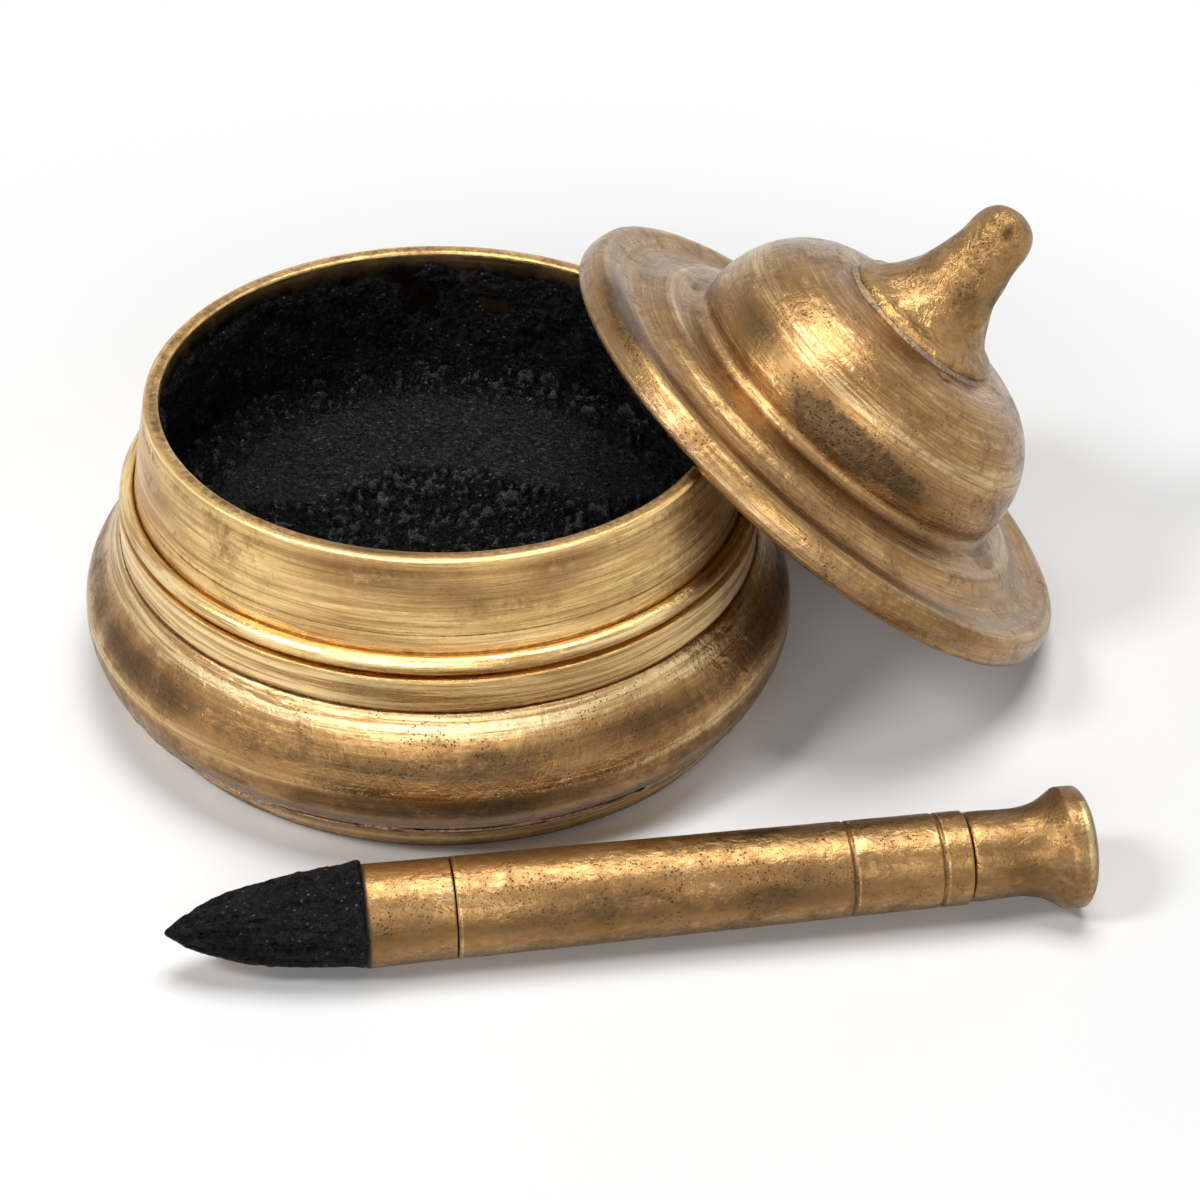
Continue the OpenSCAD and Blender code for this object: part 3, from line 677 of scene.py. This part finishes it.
def neck_brass():
    # shade above 1 paints the neck lighter than the bowl, standing in for the light it reflects
    return brass("brass_neck", 3.0, shade=1.1, tone=0.95, patina=0.25, streaks=0.65, pits=0.3, coppery=0.2,
                 rough=0.3, turns=1.3, fine=1.9, wrinkle=0.25,
                 soot=(NECK_IN_R + BAND_Z * NECK_TAPER, NECK_TAPER, POT_H - 0.7),
                 creases_and_shade_bands=[(NECK_BASE_R, NECK_Z + BEAD_T, 0.08, 0.8), (BAND_R, NECK_Z, 0.08, 0.7),
                          (BAND_R, BAND_Z, 0.09, 0.9), (NECK_TOP_IN_R + 0.55, POT_H, 0.55, 0.66),
                          (NECK_TOP_IN_R, POT_H - 1.4, 0.9, 0.7), (RIM_R, POT_H - 1.2, 0.4, 0.4),
                          (24.22, 19.0, 0.08, 0.7)],
                 # the pale rings at the rim's edge, on the band and above the bead: worn places and also
                 # painted highlights
                 rubbed_and_highlit=[(RIM_R - 0.05, POT_H - 0.15, 0.09, 0.9), (BAND_R, 14.6, 1.4, 0.7),
                         (24.35, 18.2, 0.3, 0.5)],
                 stains=[((-3.5, -23.3, 23.6), (9.0, 3.5, 2.2), 1.3),
                         ((6.0, -23.0, 21.5), (9.0, 3.5, 1.7), 0.9),
                         ((-21.0, -10.0, 22.0), (5.0, 6.0, 1.2), 1.4),
                         ((10.0, -21.0, 23.5), (4.0, 3.0, 1.6), 1.2),
                         ((0.0, -25.8, 14.0), (5.0, 1.5, 1.2), 0.5),
                         ((4.0, 23.4, 22.0), (8.0, 3.0, 2.5), 1.0)])


def bead_brass():
    return brass("brass_bead", 4.0, tone=0.9, patina=0.25, streaks=0.5, pits=0.2, coppery=0.1, rough=0.24,
                 creases_and_shade_bands=[(BEAD_C[0], NECK_Z, 0.14, 0.9), (BEAD_C[0] - 0.35, NECK_Z + BEAD_T, 0.1, 0.7)],
                 # the pale ring on the bead's outer face: worn and also a painted highlight
                 rubbed_and_highlit=[(BEAD_C[0] + 0.5, NECK_Z + 1.2, 0.5, 0.7)], wrinkle=0.2)


def make_pot():
    foot, bowl, neck, bead = foot_brass(), bowl_brass(), neck_brass(), bead_brass()
    turned("base_disc_turned",
           chain((0, 0), (FOOT_R - 0.4, 0), (FOOT_R, 0.4), (DISC_R, FOOT_H - 0.2),
                 [(DISC_R - 0.15, FOOT_H), (DISC_R - 4.5, FOOT_H)],
                 [(DISC_R - 5, FLOOR_T + 0.02), (0, FLOOR_T + 0.02)]),
           DISC_PLACE, "pot", ["base_disc"], foot, uneven=0.12, seed=11)

    band_in = (SEAM_R - 0.8, FOOT_H)
    turned("base_solder_band",
           chain(band_in, (SEAM_R + 0.05, FOOT_H), (SOLDER_TOP_R + 0.05, SOLDER_Z - 0.1),
                 (SOLDER_TOP_R - 0.2, SOLDER_Z), band_in),
           HERE, "pot", ["base_solder"], solder("solder_band"), closed=True, columns=512,
           uneven=0.03, change=lumpy(0.35, 9, 0.5, 0.35, 3), spacing=0.12, rounding=0.06)

    belly = [q for q in arc(BELLY_C, BELLY_CURVE, FOOT_A, SHOULDER_A) if q[1] > SOLDER_Z + 0.2]
    turned("bowl_turned",
           chain((SOLDER_TOP_R - 0.02, SOLDER_Z),
                 belly + [(BAND_R + 0.06, BAND_Z - 0.05), (BAND_R - 0.1, BAND_Z)],
                 (line_r(BELLY_C, INNER_CURVE, SHOULDER_A, BAND_Z), BAND_Z))
           + [arc(BELLY_C, INNER_CURVE, SHOULDER_A, FOOT_A)]
           + chain((line_r(BELLY_C, INNER_CURVE, FOOT_A, FLOOR_T + 1.3), FOOT_H + 0.02),
                   (SEAM_R - 0.9, FOOT_H + 0.02), (SOLDER_TOP_R - 0.3, SOLDER_Z)),
           HERE, "pot", ["bowl"], bowl, closed=True, columns=320, uneven=0.12, seed=21)

    lip = arc((RIM_R - LIP_ROUND, POT_H - LIP_ROUND), LIP_ROUND, 0, 90, 5)
    lip += arc((NECK_TOP_IN_R + LIP_ROUND, POT_H - LIP_ROUND), LIP_ROUND, 90, 180, 5)
    neck_foot = (NECK_BASE_R, NECK_Z + BEAD_T * 0.8)
    turned("neck_collar_turned",
           chain((NECK_IN_R, BAND_Z), (BAND_R, BAND_Z), (BAND_R, NECK_Z), (NECK_BASE_R, NECK_Z), neck_foot,
                 lip[0], lip[1:], (NECK_IN_R, BAND_Z)),
           HERE, "pot", ["neck_collar"], neck, closed=True, columns=320, uneven=0.1, seed=31)

    turned("neck_bead_turned",
           [[(NECK_BASE_R, NECK_Z), (BEAD_C[0], NECK_Z)], arc(BEAD_C, BEAD_T / 2, -85, BEAD_TOP_A, 12),
            [neck_foot, (NECK_BASE_R, NECK_Z)]],
           HERE, "pot", ["neck_bead"], bead, closed=True, columns=320, uneven=0.05, seed=41,
           spacing=0.12)


# ---- kohl ----

KOHL_GAP = 0.02  # mm between the kohl and the wall round it
KOHL_FLOOR, KOHL_FLAT_R = FLOOR_T + 0.03, 10
LOOSE_AT, LOOSE_STEP = 6.5, 0.45  # mm: where the loose powder begins, and the height of its edge


def kohl_height(x, y):
    """Top of the kohl: scraped hollow, loose heap to the front, crumbs. Also how loose it is and how high its
    crumbs stand, both from 0 to 1."""
    r = np.hypot(x, y)
    wall = neck_in(KOHL_Z)
    p = np.stack([x, y, 0 * x], 1)
    z = KOHL_Z - KOHL_DISH * np.interp(np.clip(r / wall, 0, 1), [0, 0.42, 0.72, 1], [1, 0.9, 0.5, 0])
    heap = KOHL_Z + HEAP_H - HEAP_BALL + np.sqrt(np.maximum(0, HEAP_BALL**2 - x**2 - (y + HEAP_OFF) ** 2))
    heap = heap - 1.2 * step(r, wall - 3.0, wall)
    z = np.logaddexp(z * 3, heap * 3) / 3 - 0.05
    front = LOOSE_AT - np.where(x < 0, 0.03, 0.012) * x**2 - y
    loose = np.clip(step(front + 5 * (noise(p * 0.3, 5) - 0.5), -1.2, 2.2) + step(r, 17, 21), 0, 1)
    smooth_bumps = 0.5 * (rough_noise(p * 0.12, 3, 3) - 0.5) + 0.16 * (rough_noise(p * 0.6, 8, 3) - 0.5)
    crumbs = np.abs(rough_noise(p * 1.05, 13, 5) - 0.5) * 2
    crumbs = 1.5 * (crumbs - 0.3) + 1.2 * (rough_noise(p * 2.5, 23, 4) - 0.5)
    scrape = 0.10 * (rough_noise(np.stack([x * 0.25 + y * 0.06, y * 1.5, 0 * x], 1), 43, 3) - 0.5)
    ridge = LOOSE_STEP * step(front + 5 * (rough_noise(p * 0.35, 51, 4) - 0.5), -0.6, 1.2)
    ridge = ridge * step(r, wall, wall - 3)
    lift = crumbs * (0.16 + 0.84 * loose)
    return z + ridge + smooth_bumps + scrape * (1 - loose) + lift, loose, np.clip(0.5 + 0.55 * crumbs, 0, 1)


def make_kohl_fill():
    rings, columns = 170, 560
    r = np.linspace(0, 1, rings + 1)[1:] ** 0.9 * (neck_in(KOHL_Z) - KOHL_GAP)
    angle = np.arange(columns) * TAU / columns
    cos, sin = np.cos(angle), np.sin(angle)
    x, y = np.outer(r, cos).ravel(), np.outer(r, sin).ravel()
    height, loose, crumbs = kohl_height(x, y)
    top = np.stack([x, y, height], 1)
    wall = [(neck_in(BAND_Z + 0.4), BAND_Z + 0.4), (neck_in(BAND_Z), BAND_Z),
            (line_r(BELLY_C, INNER_CURVE, SHOULDER_A, BAND_Z), BAND_Z - 0.05),
            *arc(BELLY_C, INNER_CURVE, SHOULDER_A, FOOT_A, 10),
            (line_r(BELLY_C, INNER_CURVE, FOOT_A, FLOOR_T), KOHL_FLOOR)]
    side_r, side_z = zip(*[(q[0] - KOHL_GAP, q[1]) for q in wall], (KOHL_FLAT_R, KOHL_FLOOR))
    middle_z = kohl_height(np.zeros(1), np.zeros(1))[0][0]
    points = np.vstack([top, spin(side_r, side_z, cos, sin), [[0, 0, middle_z]], [[0, 0, KOHL_FLOOR]]])
    rows = rings + len(side_r)
    faces = list(quads(rows, columns, False)[:, ::-1])
    last_row, centre, bottom = (rows - 1) * columns, rows * columns, rows * columns + 1
    for c in range(columns):
        faces.append((centre, c, (c + 1) % columns))
        faces.append((bottom, last_row + (c + 1) % columns, last_row + c))
    # the crumb heights also set the painted shade in the kohl's colour
    turn = np.zeros_like(points)
    turn[:len(top), 0], turn[:len(top), 1] = loose, crumbs
    make_piece("kohl_fill_surface", points, faces, points, turn, HERE, "pot", ["kohl_fill"],
               kohl("kohl_surface", 0.0025, 0.085, gloss=0.16, lumps=True))


def make_kohl_coat():
    """Dried coat on the inside of the neck, with a ragged upper edge and bare places at the back."""
    rows, columns = 76, 640
    z = np.linspace(KOHL_Z - 1.2, POT_H - 0.75, rows)
    angle = np.arange(columns) * TAU / columns
    cos, sin = np.cos(angle), np.sin(angle)
    wall = neck_in(z)
    p = spin(np.full(rows, 22.0), z, cos, sin)
    thick = 0.32 + 0.9 * (rough_noise(p * 0.45, 61, 5) - 0.5) + 0.5 * (rough_noise(p * 1.6, 71, 3) - 0.5)
    top_edge = POT_H - 1.8 - 2.0 * (rough_noise(p * 0.16, 81, 4) - 0.5)
    top_edge = top_edge - 2.4 * (rough_noise(p * 0.9, 83, 4) - 0.5)
    thick -= 1.1 * step(p[:, 2], top_edge - 0.9, top_edge + 0.9)
    at_back = step(p[:, 1], 8, 19) * step(p[:, 2], KOHL_Z + 3, KOHL_Z + 7)
    thick -= 0.6 * at_back * step(rough_noise(p * 0.3, 91, 5), 0.52, 0.68)
    thick = np.clip(thick, -0.12, 0.95)
    thick[p[:, 2] < KOHL_Z] = 0.3
    r = wall[:, None] - thick.reshape(rows, columns)
    front = np.stack([r * cos, r * sin, np.broadcast_to(z[:, None], r.shape)], -1).reshape(-1, 3)
    back = spin((wall + 0.3)[::-1], z[::-1], cos, sin)
    points = np.vstack([front, back])
    faces = list(quads(2 * rows, columns, True)[:, ::-1])
    make_piece("kohl_wall_coat_dried", points, faces, points, points, HERE, "pot", ["kohl_wall_coat"],
               kohl("kohl_dried", 0.001, 0.04, gloss=0.08, stains=True))


# ---- lid ----

FINIAL_DENT_AT, NOTCH_AT = (-0.98, -2.31, 25.1), (-0.7, -8.3, 14.1)


def dent(p, centre, width, depth):
    """How deep a soft round dent is at the points p."""
    away = np.linalg.norm(p - np.array(centre), axis=1)
    return depth * np.exp(-(away / width) ** 2)


def dome(foot_r, top_r, foot_h, top_h, n=9):
    out = []
    for k in range(n):
        a = math.radians(80 * k / (n - 1))
        out.append((top_r + (foot_r - top_r) * math.cos(a) ** 0.9, foot_h + (top_h - foot_h) * math.sin(a)))
    return out


def lid_brass():
    return brass("brass_lid", 5.0, shade=0.74, tone=0.42, patina=0.66, streaks=0.7, pits=0.85, coppery=0.5,
                 rough=0.15, turns=1.2, fine=1.8, wrinkle=0.3,
                 creases_and_shade_bands=[(GROOVE_R, GROOVE_H, 0.5, 0.35), (STEP_R + 0.5, STEP_H - 0.3, 0.2, 0.4),
                          (LID_R, EDGE_H, 0.2, 0.5), (FINIAL_R + 0.7, CROWN_H - 0.2, 0.2, 0.3),
                          (8.6, 13.9, 0.1, 0.6), (9.6, 13.45, 0.08, 0.6), (11.0, 12.6, 0.1, 0.55),
                          (12.3, 11.5, 0.08, 0.5), (22.3, 2.75, 0.12, 0.5)],
                 # painted highlights: the rings on the ridge, on the step and on the dome at height 9.6
                 rubbed_and_highlit=[(LID_R - ROLL_W - 0.2, ROLL_H, 0.3, 0.3), (STEP_R - 0.3, STEP_H, 0.25, 0.4),
                         (13.4, 9.6, 1.3, 0.8), (9.1, 13.7, 0.12, 0.7), (10.2, 13.1, 0.14, 0.6)],
                 # painted dark reflection, partly patina: the first three patches make the dark blotch on the
                 # dome beside its highlight
                 stains=[((-7.5, -13.5, 6.6), (4.5, 4.0, 1.7), 2.6),
                         ((-3.6, -15.0, 7.2), (4.5, 4.0, 1.5), 2.5),
                         ((-9.5, -11.5, 7.6), (4.5, 4.0, 1.5), 1.2),
                         ((1.8, -15.6, 6.0), (4.5, 4.0, 3.0), 1.0),
                         ((-23.6, -4.0, 2.8), (2.0, 8.0, 1.3), 2.6),
                         ((-13.5, -6.0, 8.3), (3.0, 4.0, 1.3), 1.0),
                         ((6.3, -22.8, 2.8), (5.0, 2.5, 1.5), 0.8),
                         ((-14.2, -3.0, 7.8), (2.5, 3.5, 2.0), 0.8),
                         ((9.0, 12.0, 8.0), (5.0, 5.0, 3.0), 1.0),
                         ((-16.0, -10.0, 5.0), (2.0, 4.0, 1.5), 0.7)],
                 dull=[(LID_R, 1.2, 0.4, 0.25)])


def finial_brass():
    return brass("brass_finial", 6.0, shade=0.7, tone=0.45, patina=0.85, streaks=0.3, pits=0.8, rough=0.22,
                 creases_and_shade_bands=[(FINIAL_R, CROWN_H + FINIAL_LIP, 0.2, 0.25)], wrinkle=1.0,
                 stains=[(FINIAL_DENT_AT, (0.7, 0.7, 0.8), 1.3), ((-1.0, -3.0, 19.0), (1.6, 1.6, 2.6), 0.9),
                         ((2.0, -2.0, 21.0), (1.6, 1.6, 3.0), 0.8)])


def make_lid():
    place = lid_place()
    shell, knob = lid_brass(), finial_brass()

    def notched(p, n, turn):
        return p - n * dent(p, NOTCH_AT, 0.5, 0.25)[:, None]

    turned("lid_shell_turned",
           chain((RECESS_R, 0), (LID_R - EDGE_CHAMFER, 0), (LID_R, EDGE_H),
                 [(LID_R - 0.12 * ROLL_W, 0.4 * ROLL_H), (LID_R - 0.35 * ROLL_W, 0.75 * ROLL_H),
                  (LID_R - 0.65 * ROLL_W, 0.93 * ROLL_H), (LID_R - ROLL_W, ROLL_H),
                  (LID_R - ROLL_W - RIDGE_W, ROLL_H - 0.05), (COVE_R, COVE_H),
                  (COVE_R - 0.55 * (COVE_R - STEP_R), COVE_H + 0.45 * (STEP_H - COVE_H)),
                  (STEP_R + 0.4, STEP_H - 0.05)],
                 [(STEP_R - 0.4, STEP_H), (GROOVE_R + 0.5, GROOVE_H)],
                 [(GROOVE_R, GROOVE_H - 0.05), (DOME_R - 0.2, GROOVE_H + 0.5)],
                 dome(DOME_R, FINIAL_R, DOME_FOOT_H, CROWN_H) + [(FINIAL_R, CROWN_H)],
                 (TENON_R, CROWN_H), (TENON_R, CROWN_IN),
                 [(FINIAL_R, CROWN_IN)] + dome(DOME_IN_R, FINIAL_R, DOME_FOOT_H, CROWN_IN)[::-1]
                 + [(GROOVE_R - LID_T, GROOVE_H - LID_T + 0.2), (STEP_R - 0.4, STEP_H - LID_T),
                    (COVE_R, COVE_H - LID_T)],
                 (RECESS_R, RECESS_H), (RECESS_R, 0)),
           place, "lid", ["lid_shell"], shell, closed=True, columns=320, uneven=0.14, seed=51,
           rounding=0.4, spacing=0.18, change=notched)

    shares = [(0.97, 0.045), (0.83, 0.1), (0.66, 0.215), (0.535, 0.355), (0.455, 0.515), (0.415, 0.67),
              (0.405, 0.77), (0.36, 0.87), (0.26, 0.945), (0.13, 0.985), (0, 1)]
    finial_place = place @ Matrix.Translation((-FINIAL_OFF, 0, 0))

    def hammered(p, n, turn):
        free = step(p[:, 2], FINIAL_TOP, FINIAL_TOP + 1.5)
        return p - n * (dent(p, FINIAL_DENT_AT, 0.55, 0.3) + 0.22 * free * noise(p * 0.62, 65))[:, None]

    turned("finial_turned",
           chain((0, CROWN_IN - RIVET_H), (RIVET_R, CROWN_IN - RIVET_H), (RIVET_R, CROWN_IN),
                 (TENON_R, CROWN_IN), (TENON_R, CROWN_H), (FINIAL_R, CROWN_H), (FINIAL_R, FINIAL_TOP),
                 [(FINIAL_R * a, FINIAL_TOP + (FINIAL_H - FINIAL_LIP) * b) for a, b in shares]),
           finial_place, "lid", ["finial"], knob, columns=224, uneven=0.16, seed=61,
           change=hammered)

    fillet_in = (FINIAL_R - 0.3, CROWN_H - 0.6)
    turned("finial_solder_fillet",
           chain(fillet_in, (FINIAL_R + 0.9, CROWN_H - 0.35),
                 [(FINIAL_R + 0.2, CROWN_H + 0.05), (FINIAL_R - 0.15, CROWN_H + 0.32)], fillet_in),
           finial_place, "lid", ["finial_solder"], solder("solder_fillet"), closed=True,
           columns=224, uneven=0.03, change=lumpy(0.12, 4, 0.3, 0.3, 7), spacing=0.12, rounding=0.06)


# ---- stick ----

def crust(p, n, turn):
    """The change for the kohl on the stick's point: wrinkles along it, lumps, and a ragged upper edge."""
    q = turn * np.array([3.0, 3.0, 0.0]) + np.array([0, 0, 1.0]) * (p[:, 2] * 0.16)[:, None]
    wrinkle = rough_noise(q, 101, 4)
    lump = rough_noise(p * 0.55, 111, 5)
    fine = rough_noise(p * 1.9, 121, 3)
    dip = 0.4 * step(wrinkle, 0.62, 0.38) * step(p[:, 2], 0, 3) + 0.25 * (1 - lump) + 0.2 * fine
    dip = dip - 0.2
    lip = step(p[:, 2], TIP_LEN - 0.9, TIP_LEN - 0.35)
    dip = dip * (1 - lip) + lip * (0.3 * fine - 0.2)
    ragged = 0.55 * (rough_noise(turn * np.array([3.5, 3.5, 0]), 131, 4) - 0.5)
    ragged = ragged * step(p[:, 2], TIP_LEN - 2, TIP_LEN)
    p = p - n * dip[:, None]
    p[:, 2] += ragged
    return p


def make_stick():
    place = stick_place()
    grooves = (LONE_AT, POMMEL_AT - PAIR_BACK)
    point_end_r, shank_end_r = stick_r(POINT_END), stick_r(POMMEL_AT)
    seams = [(stick_r(h), h, 0.06, 0.4) for h in (POINT_END, POMMEL_AT)]
    seams += [(stick_r(h) - GROOVE_CUT, h, 0.1, 0.5) for h in grooves]
    stick = brass("brass_stick", 7.0, shade=0.66, tone=0.3, patina=0.75, streaks=0.5, pits=0.8, coppery=0.45,
                  rough=0.24, fine=0.3, wrinkle=0.4, creases_and_shade_bands=seams + [(POINT_R, TIP_LEN, 0.4, 1.2)],
                  # the pale rings beside the seams and grooves: worn edges and also painted highlights
                  rubbed_and_highlit=[(stick_r(h), h + 0.3, 0.08, 0.5) for h in (POINT_END, *grooves, POMMEL_AT)],
                  # painted dark reflection: the first and third patches make a dark band along the stick's
                  # front
                  stains=[((-1.5, -3.4, 36.0), (1.8, 2.2, 18.0), 1.3),
                          ((-3.6, 1.4, 24.0), (1.5, 1.5, 9.0), 1.2),
                          ((-1.0, -3.6, 17.0), (1.5, 2.0, 4.0), 0.8),
                          ((3.0, 2.0, 45.0), (3.0, 3.0, 12.0), 0.8)])
    pommel = brass("brass_pommel", 8.0, shade=0.53, tone=0.3, patina=0.66, streaks=0.4, pits=0.5, rough=0.24,
                   fine=0.3, wrinkle=0.4, creases_and_shade_bands=seams, rubbed_and_highlit=[(POMMEL_R, STICK_LEN - 0.7, 0.25, 0.8)],
                   stains=[((0.0, 0.0, 63.5), (9.0, 9.0, 2.2), 0.7),
                           ((0.0, 0.0, 69.0), (4.0, 4.0, 0.6), 0.6)])

    core = [(TIP_R * b - SKIN_T, TIP_LEN * a) for a, b in TIP_SHARES if 0.1 < a < 0.9]
    turned("stick_point_turned",
           chain((0, TIP_LEN * 0.1), core + [(POINT_R - 0.15, TIP_LEN)], (POINT_R, TIP_LEN + 0.1),
                 (point_end_r - 0.02, POINT_END - 0.04), (point_end_r - 0.05, POINT_END), (PEG_R, POINT_END),
                 (PEG_R, POINT_END + PEG_LEN), (0, POINT_END + PEG_LEN)),
           place, "stick", ["stick_point"], stick, columns=160, uneven=0.07, seed=71,
           rounding=0.04, spacing=0.14)

    cuts = []
    for g in grooves:
        r, w = stick_r(g), GROOVE_W / 2
        cuts += [(r, g - w), [(r - GROOVE_CUT, g - w * 0.5), (r - GROOVE_CUT, g + w * 0.5), (r, g + w)]]
    turned("stick_shank_turned",
           chain((0, POINT_END), (point_end_r - 0.05, POINT_END), (point_end_r, POINT_END + 0.04), *cuts,
                 (shank_end_r, POMMEL_AT - 0.04), (shank_end_r - 0.05, POMMEL_AT), (0, POMMEL_AT)),
           place, "stick", ["stick_shank"], stick, columns=160, uneven=0.08, seed=81,
           rounding=0.04, spacing=0.1)

    flare, edge_end = POMMEL_AT + POMMEL_NECK, STICK_LEN - POMMEL_CH
    edge_at = edge_end - POMMEL_EDGE
    turned("stick_pommel_turned",
           chain((0, POMMEL_AT - PEG_LEN), (PEG_R, POMMEL_AT - PEG_LEN), (PEG_R, POMMEL_AT),
                 (POMMEL_NECK_R - 0.15, POMMEL_AT),
                 [(POMMEL_NECK_R, POMMEL_AT + 0.15), (POMMEL_NECK_R, flare - 1),
                  (POMMEL_NECK_R + 0.02, flare),
                  (POMMEL_NECK_R + (POMMEL_R - POMMEL_NECK_R) * 0.28, (flare + edge_at) / 2),
                  (POMMEL_R, edge_at)],
                 (POMMEL_R, edge_end), (POMMEL_R - POMMEL_CH, STICK_LEN - 0.1),
                 [(POMMEL_R - POMMEL_CH - 0.4, STICK_LEN), (0, STICK_LEN)]),
           place, "stick", ["stick_pommel"], pommel, columns=160, uneven=0.08, seed=91,
           rounding=0.12)

    turned("stick_kohl_crust",
           chain((0, 0), [(TIP_R * 0.04, 0.01)] + [(TIP_R * b, TIP_LEN * a) for a, b in TIP_SHARES[1:]],
                 (TIP_R, TIP_LEN), (POINT_R - 0.6, TIP_LEN + 0.02), (0, TIP_LEN - 0.4)),
           place @ Matrix.Translation((-TIP_UP, 0, 0)), "stick", ["stick_kohl_tip"],
           kohl("kohl_crust", 0.001, 0.024, gloss=0.12, coarse=0.7), columns=288, uneven=0.02, seed=101,
           change=crust, spacing=0.1, rounding=0.1)


# ---- floor, backdrop and lamps, in metres ----

FLOOR_CELLS, FLOOR_HALF, FLOOR_DROP = 24, 1.6, 0.00002
GLOW_AT, GLOW_FROM, GLOW_TO = (0.012, 0.0, 0.0), 0.055, 0.105  # the floor turns plain white in between
FLOOR_COLOUR, NEAR_GLOW, WORLD_LIGHT = (0.86, 0.86, 0.86), 0.03, 0.025
WHITE = (1, 1, 1)
LAMP_AIM = (0.01, -0.005, 0.01)
LAMPS = (  # name, direction, distance, size, watts
    ("key", (-0.60, -0.35, 0.72), 0.75, (0.15, 0.17), 2.2),
    ("overhead", (0.05, 0.12, 0.98), 0.9, (0.48, 0.48), 5.9),
    ("front", (-0.05, -0.87, 0.48), 0.9, (0.8, 0.19), 2.5),
)


def make_floor():
    mesh = bpy.data.meshes.new("floor")
    xs = np.linspace(-FLOOR_HALF, FLOOR_HALF, FLOOR_CELLS + 1)
    points = [(x, y, -FLOOR_DROP) for y in xs for x in xs]
    row = FLOOR_CELLS + 1
    corners = [r * row + c for r in range(FLOOR_CELLS) for c in range(FLOOR_CELLS)]
    mesh.from_pydata(points, [], [(k, k + 1, k + row + 1, k + row) for k in corners])
    mesh.update()
    floor = bpy.data.objects.new("floor", mesh)
    bpy.context.scene.collection.objects.link(floor)
    m = Shader("floor_white")
    seen = m.backdrop_rays()
    place = m.add("ShaderNodeTexCoord").outputs["Object"]
    far = m.ramp(m.distance(place, GLOW_AT), GLOW_FROM, GLOW_TO)
    matt = m.add("ShaderNodeBsdfDiffuse", {"Color": FLOOR_COLOUR})
    glow_near = m.add("ShaderNodeEmission", {"Color": WHITE, "Strength": m.math("MULTIPLY", seen, NEAR_GLOW)})
    glow_far = m.add("ShaderNodeEmission", {"Color": WHITE, "Strength": 1.0})
    near = m.add("ShaderNodeAddShader", {0: matt.outputs[0], 1: glow_near.outputs[0]})
    both = m.add("ShaderNodeMixShader",
                 {0: m.math("MULTIPLY", seen, far), 1: near.outputs[0], 2: glow_far.outputs[0]})
    mesh.materials.append(m.output("ShaderNodeOutputMaterial", both))


def make_world():
    w = Shader("studio", world=True)
    white = w.add("ShaderNodeBackground", {"Color": WHITE, "Strength": 1.0})
    dim = w.add("ShaderNodeBackground", {"Color": WHITE, "Strength": WORLD_LIGHT})
    mixed = w.add("ShaderNodeMixShader", {0: w.backdrop_rays(), 1: dim.outputs[0], 2: white.outputs[0]})
    bpy.context.scene.world = w.output("ShaderNodeOutputWorld", mixed)


def make_lamp(name, direction, distance, size, watts):
    data = bpy.data.lights.new(name, "AREA")
    data.shape = "RECTANGLE"
    data.size, data.size_y = size
    data.energy = watts
    light = bpy.data.objects.new(name, data)
    way = Vector(direction).normalized()
    light.location = Vector(LAMP_AIM) + way * distance
    light.rotation_euler = way.to_track_quat("Z", "Y").to_euler()
    bpy.context.scene.collection.objects.link(light)


make_camera()
make_pot()
make_kohl_fill()
make_kohl_coat()
make_lid()
make_stick()
make_floor()
make_world()
for lamp in LAMPS:
    make_lamp(*lamp)

bpy.context.scene.view_settings.view_transform = "Standard"
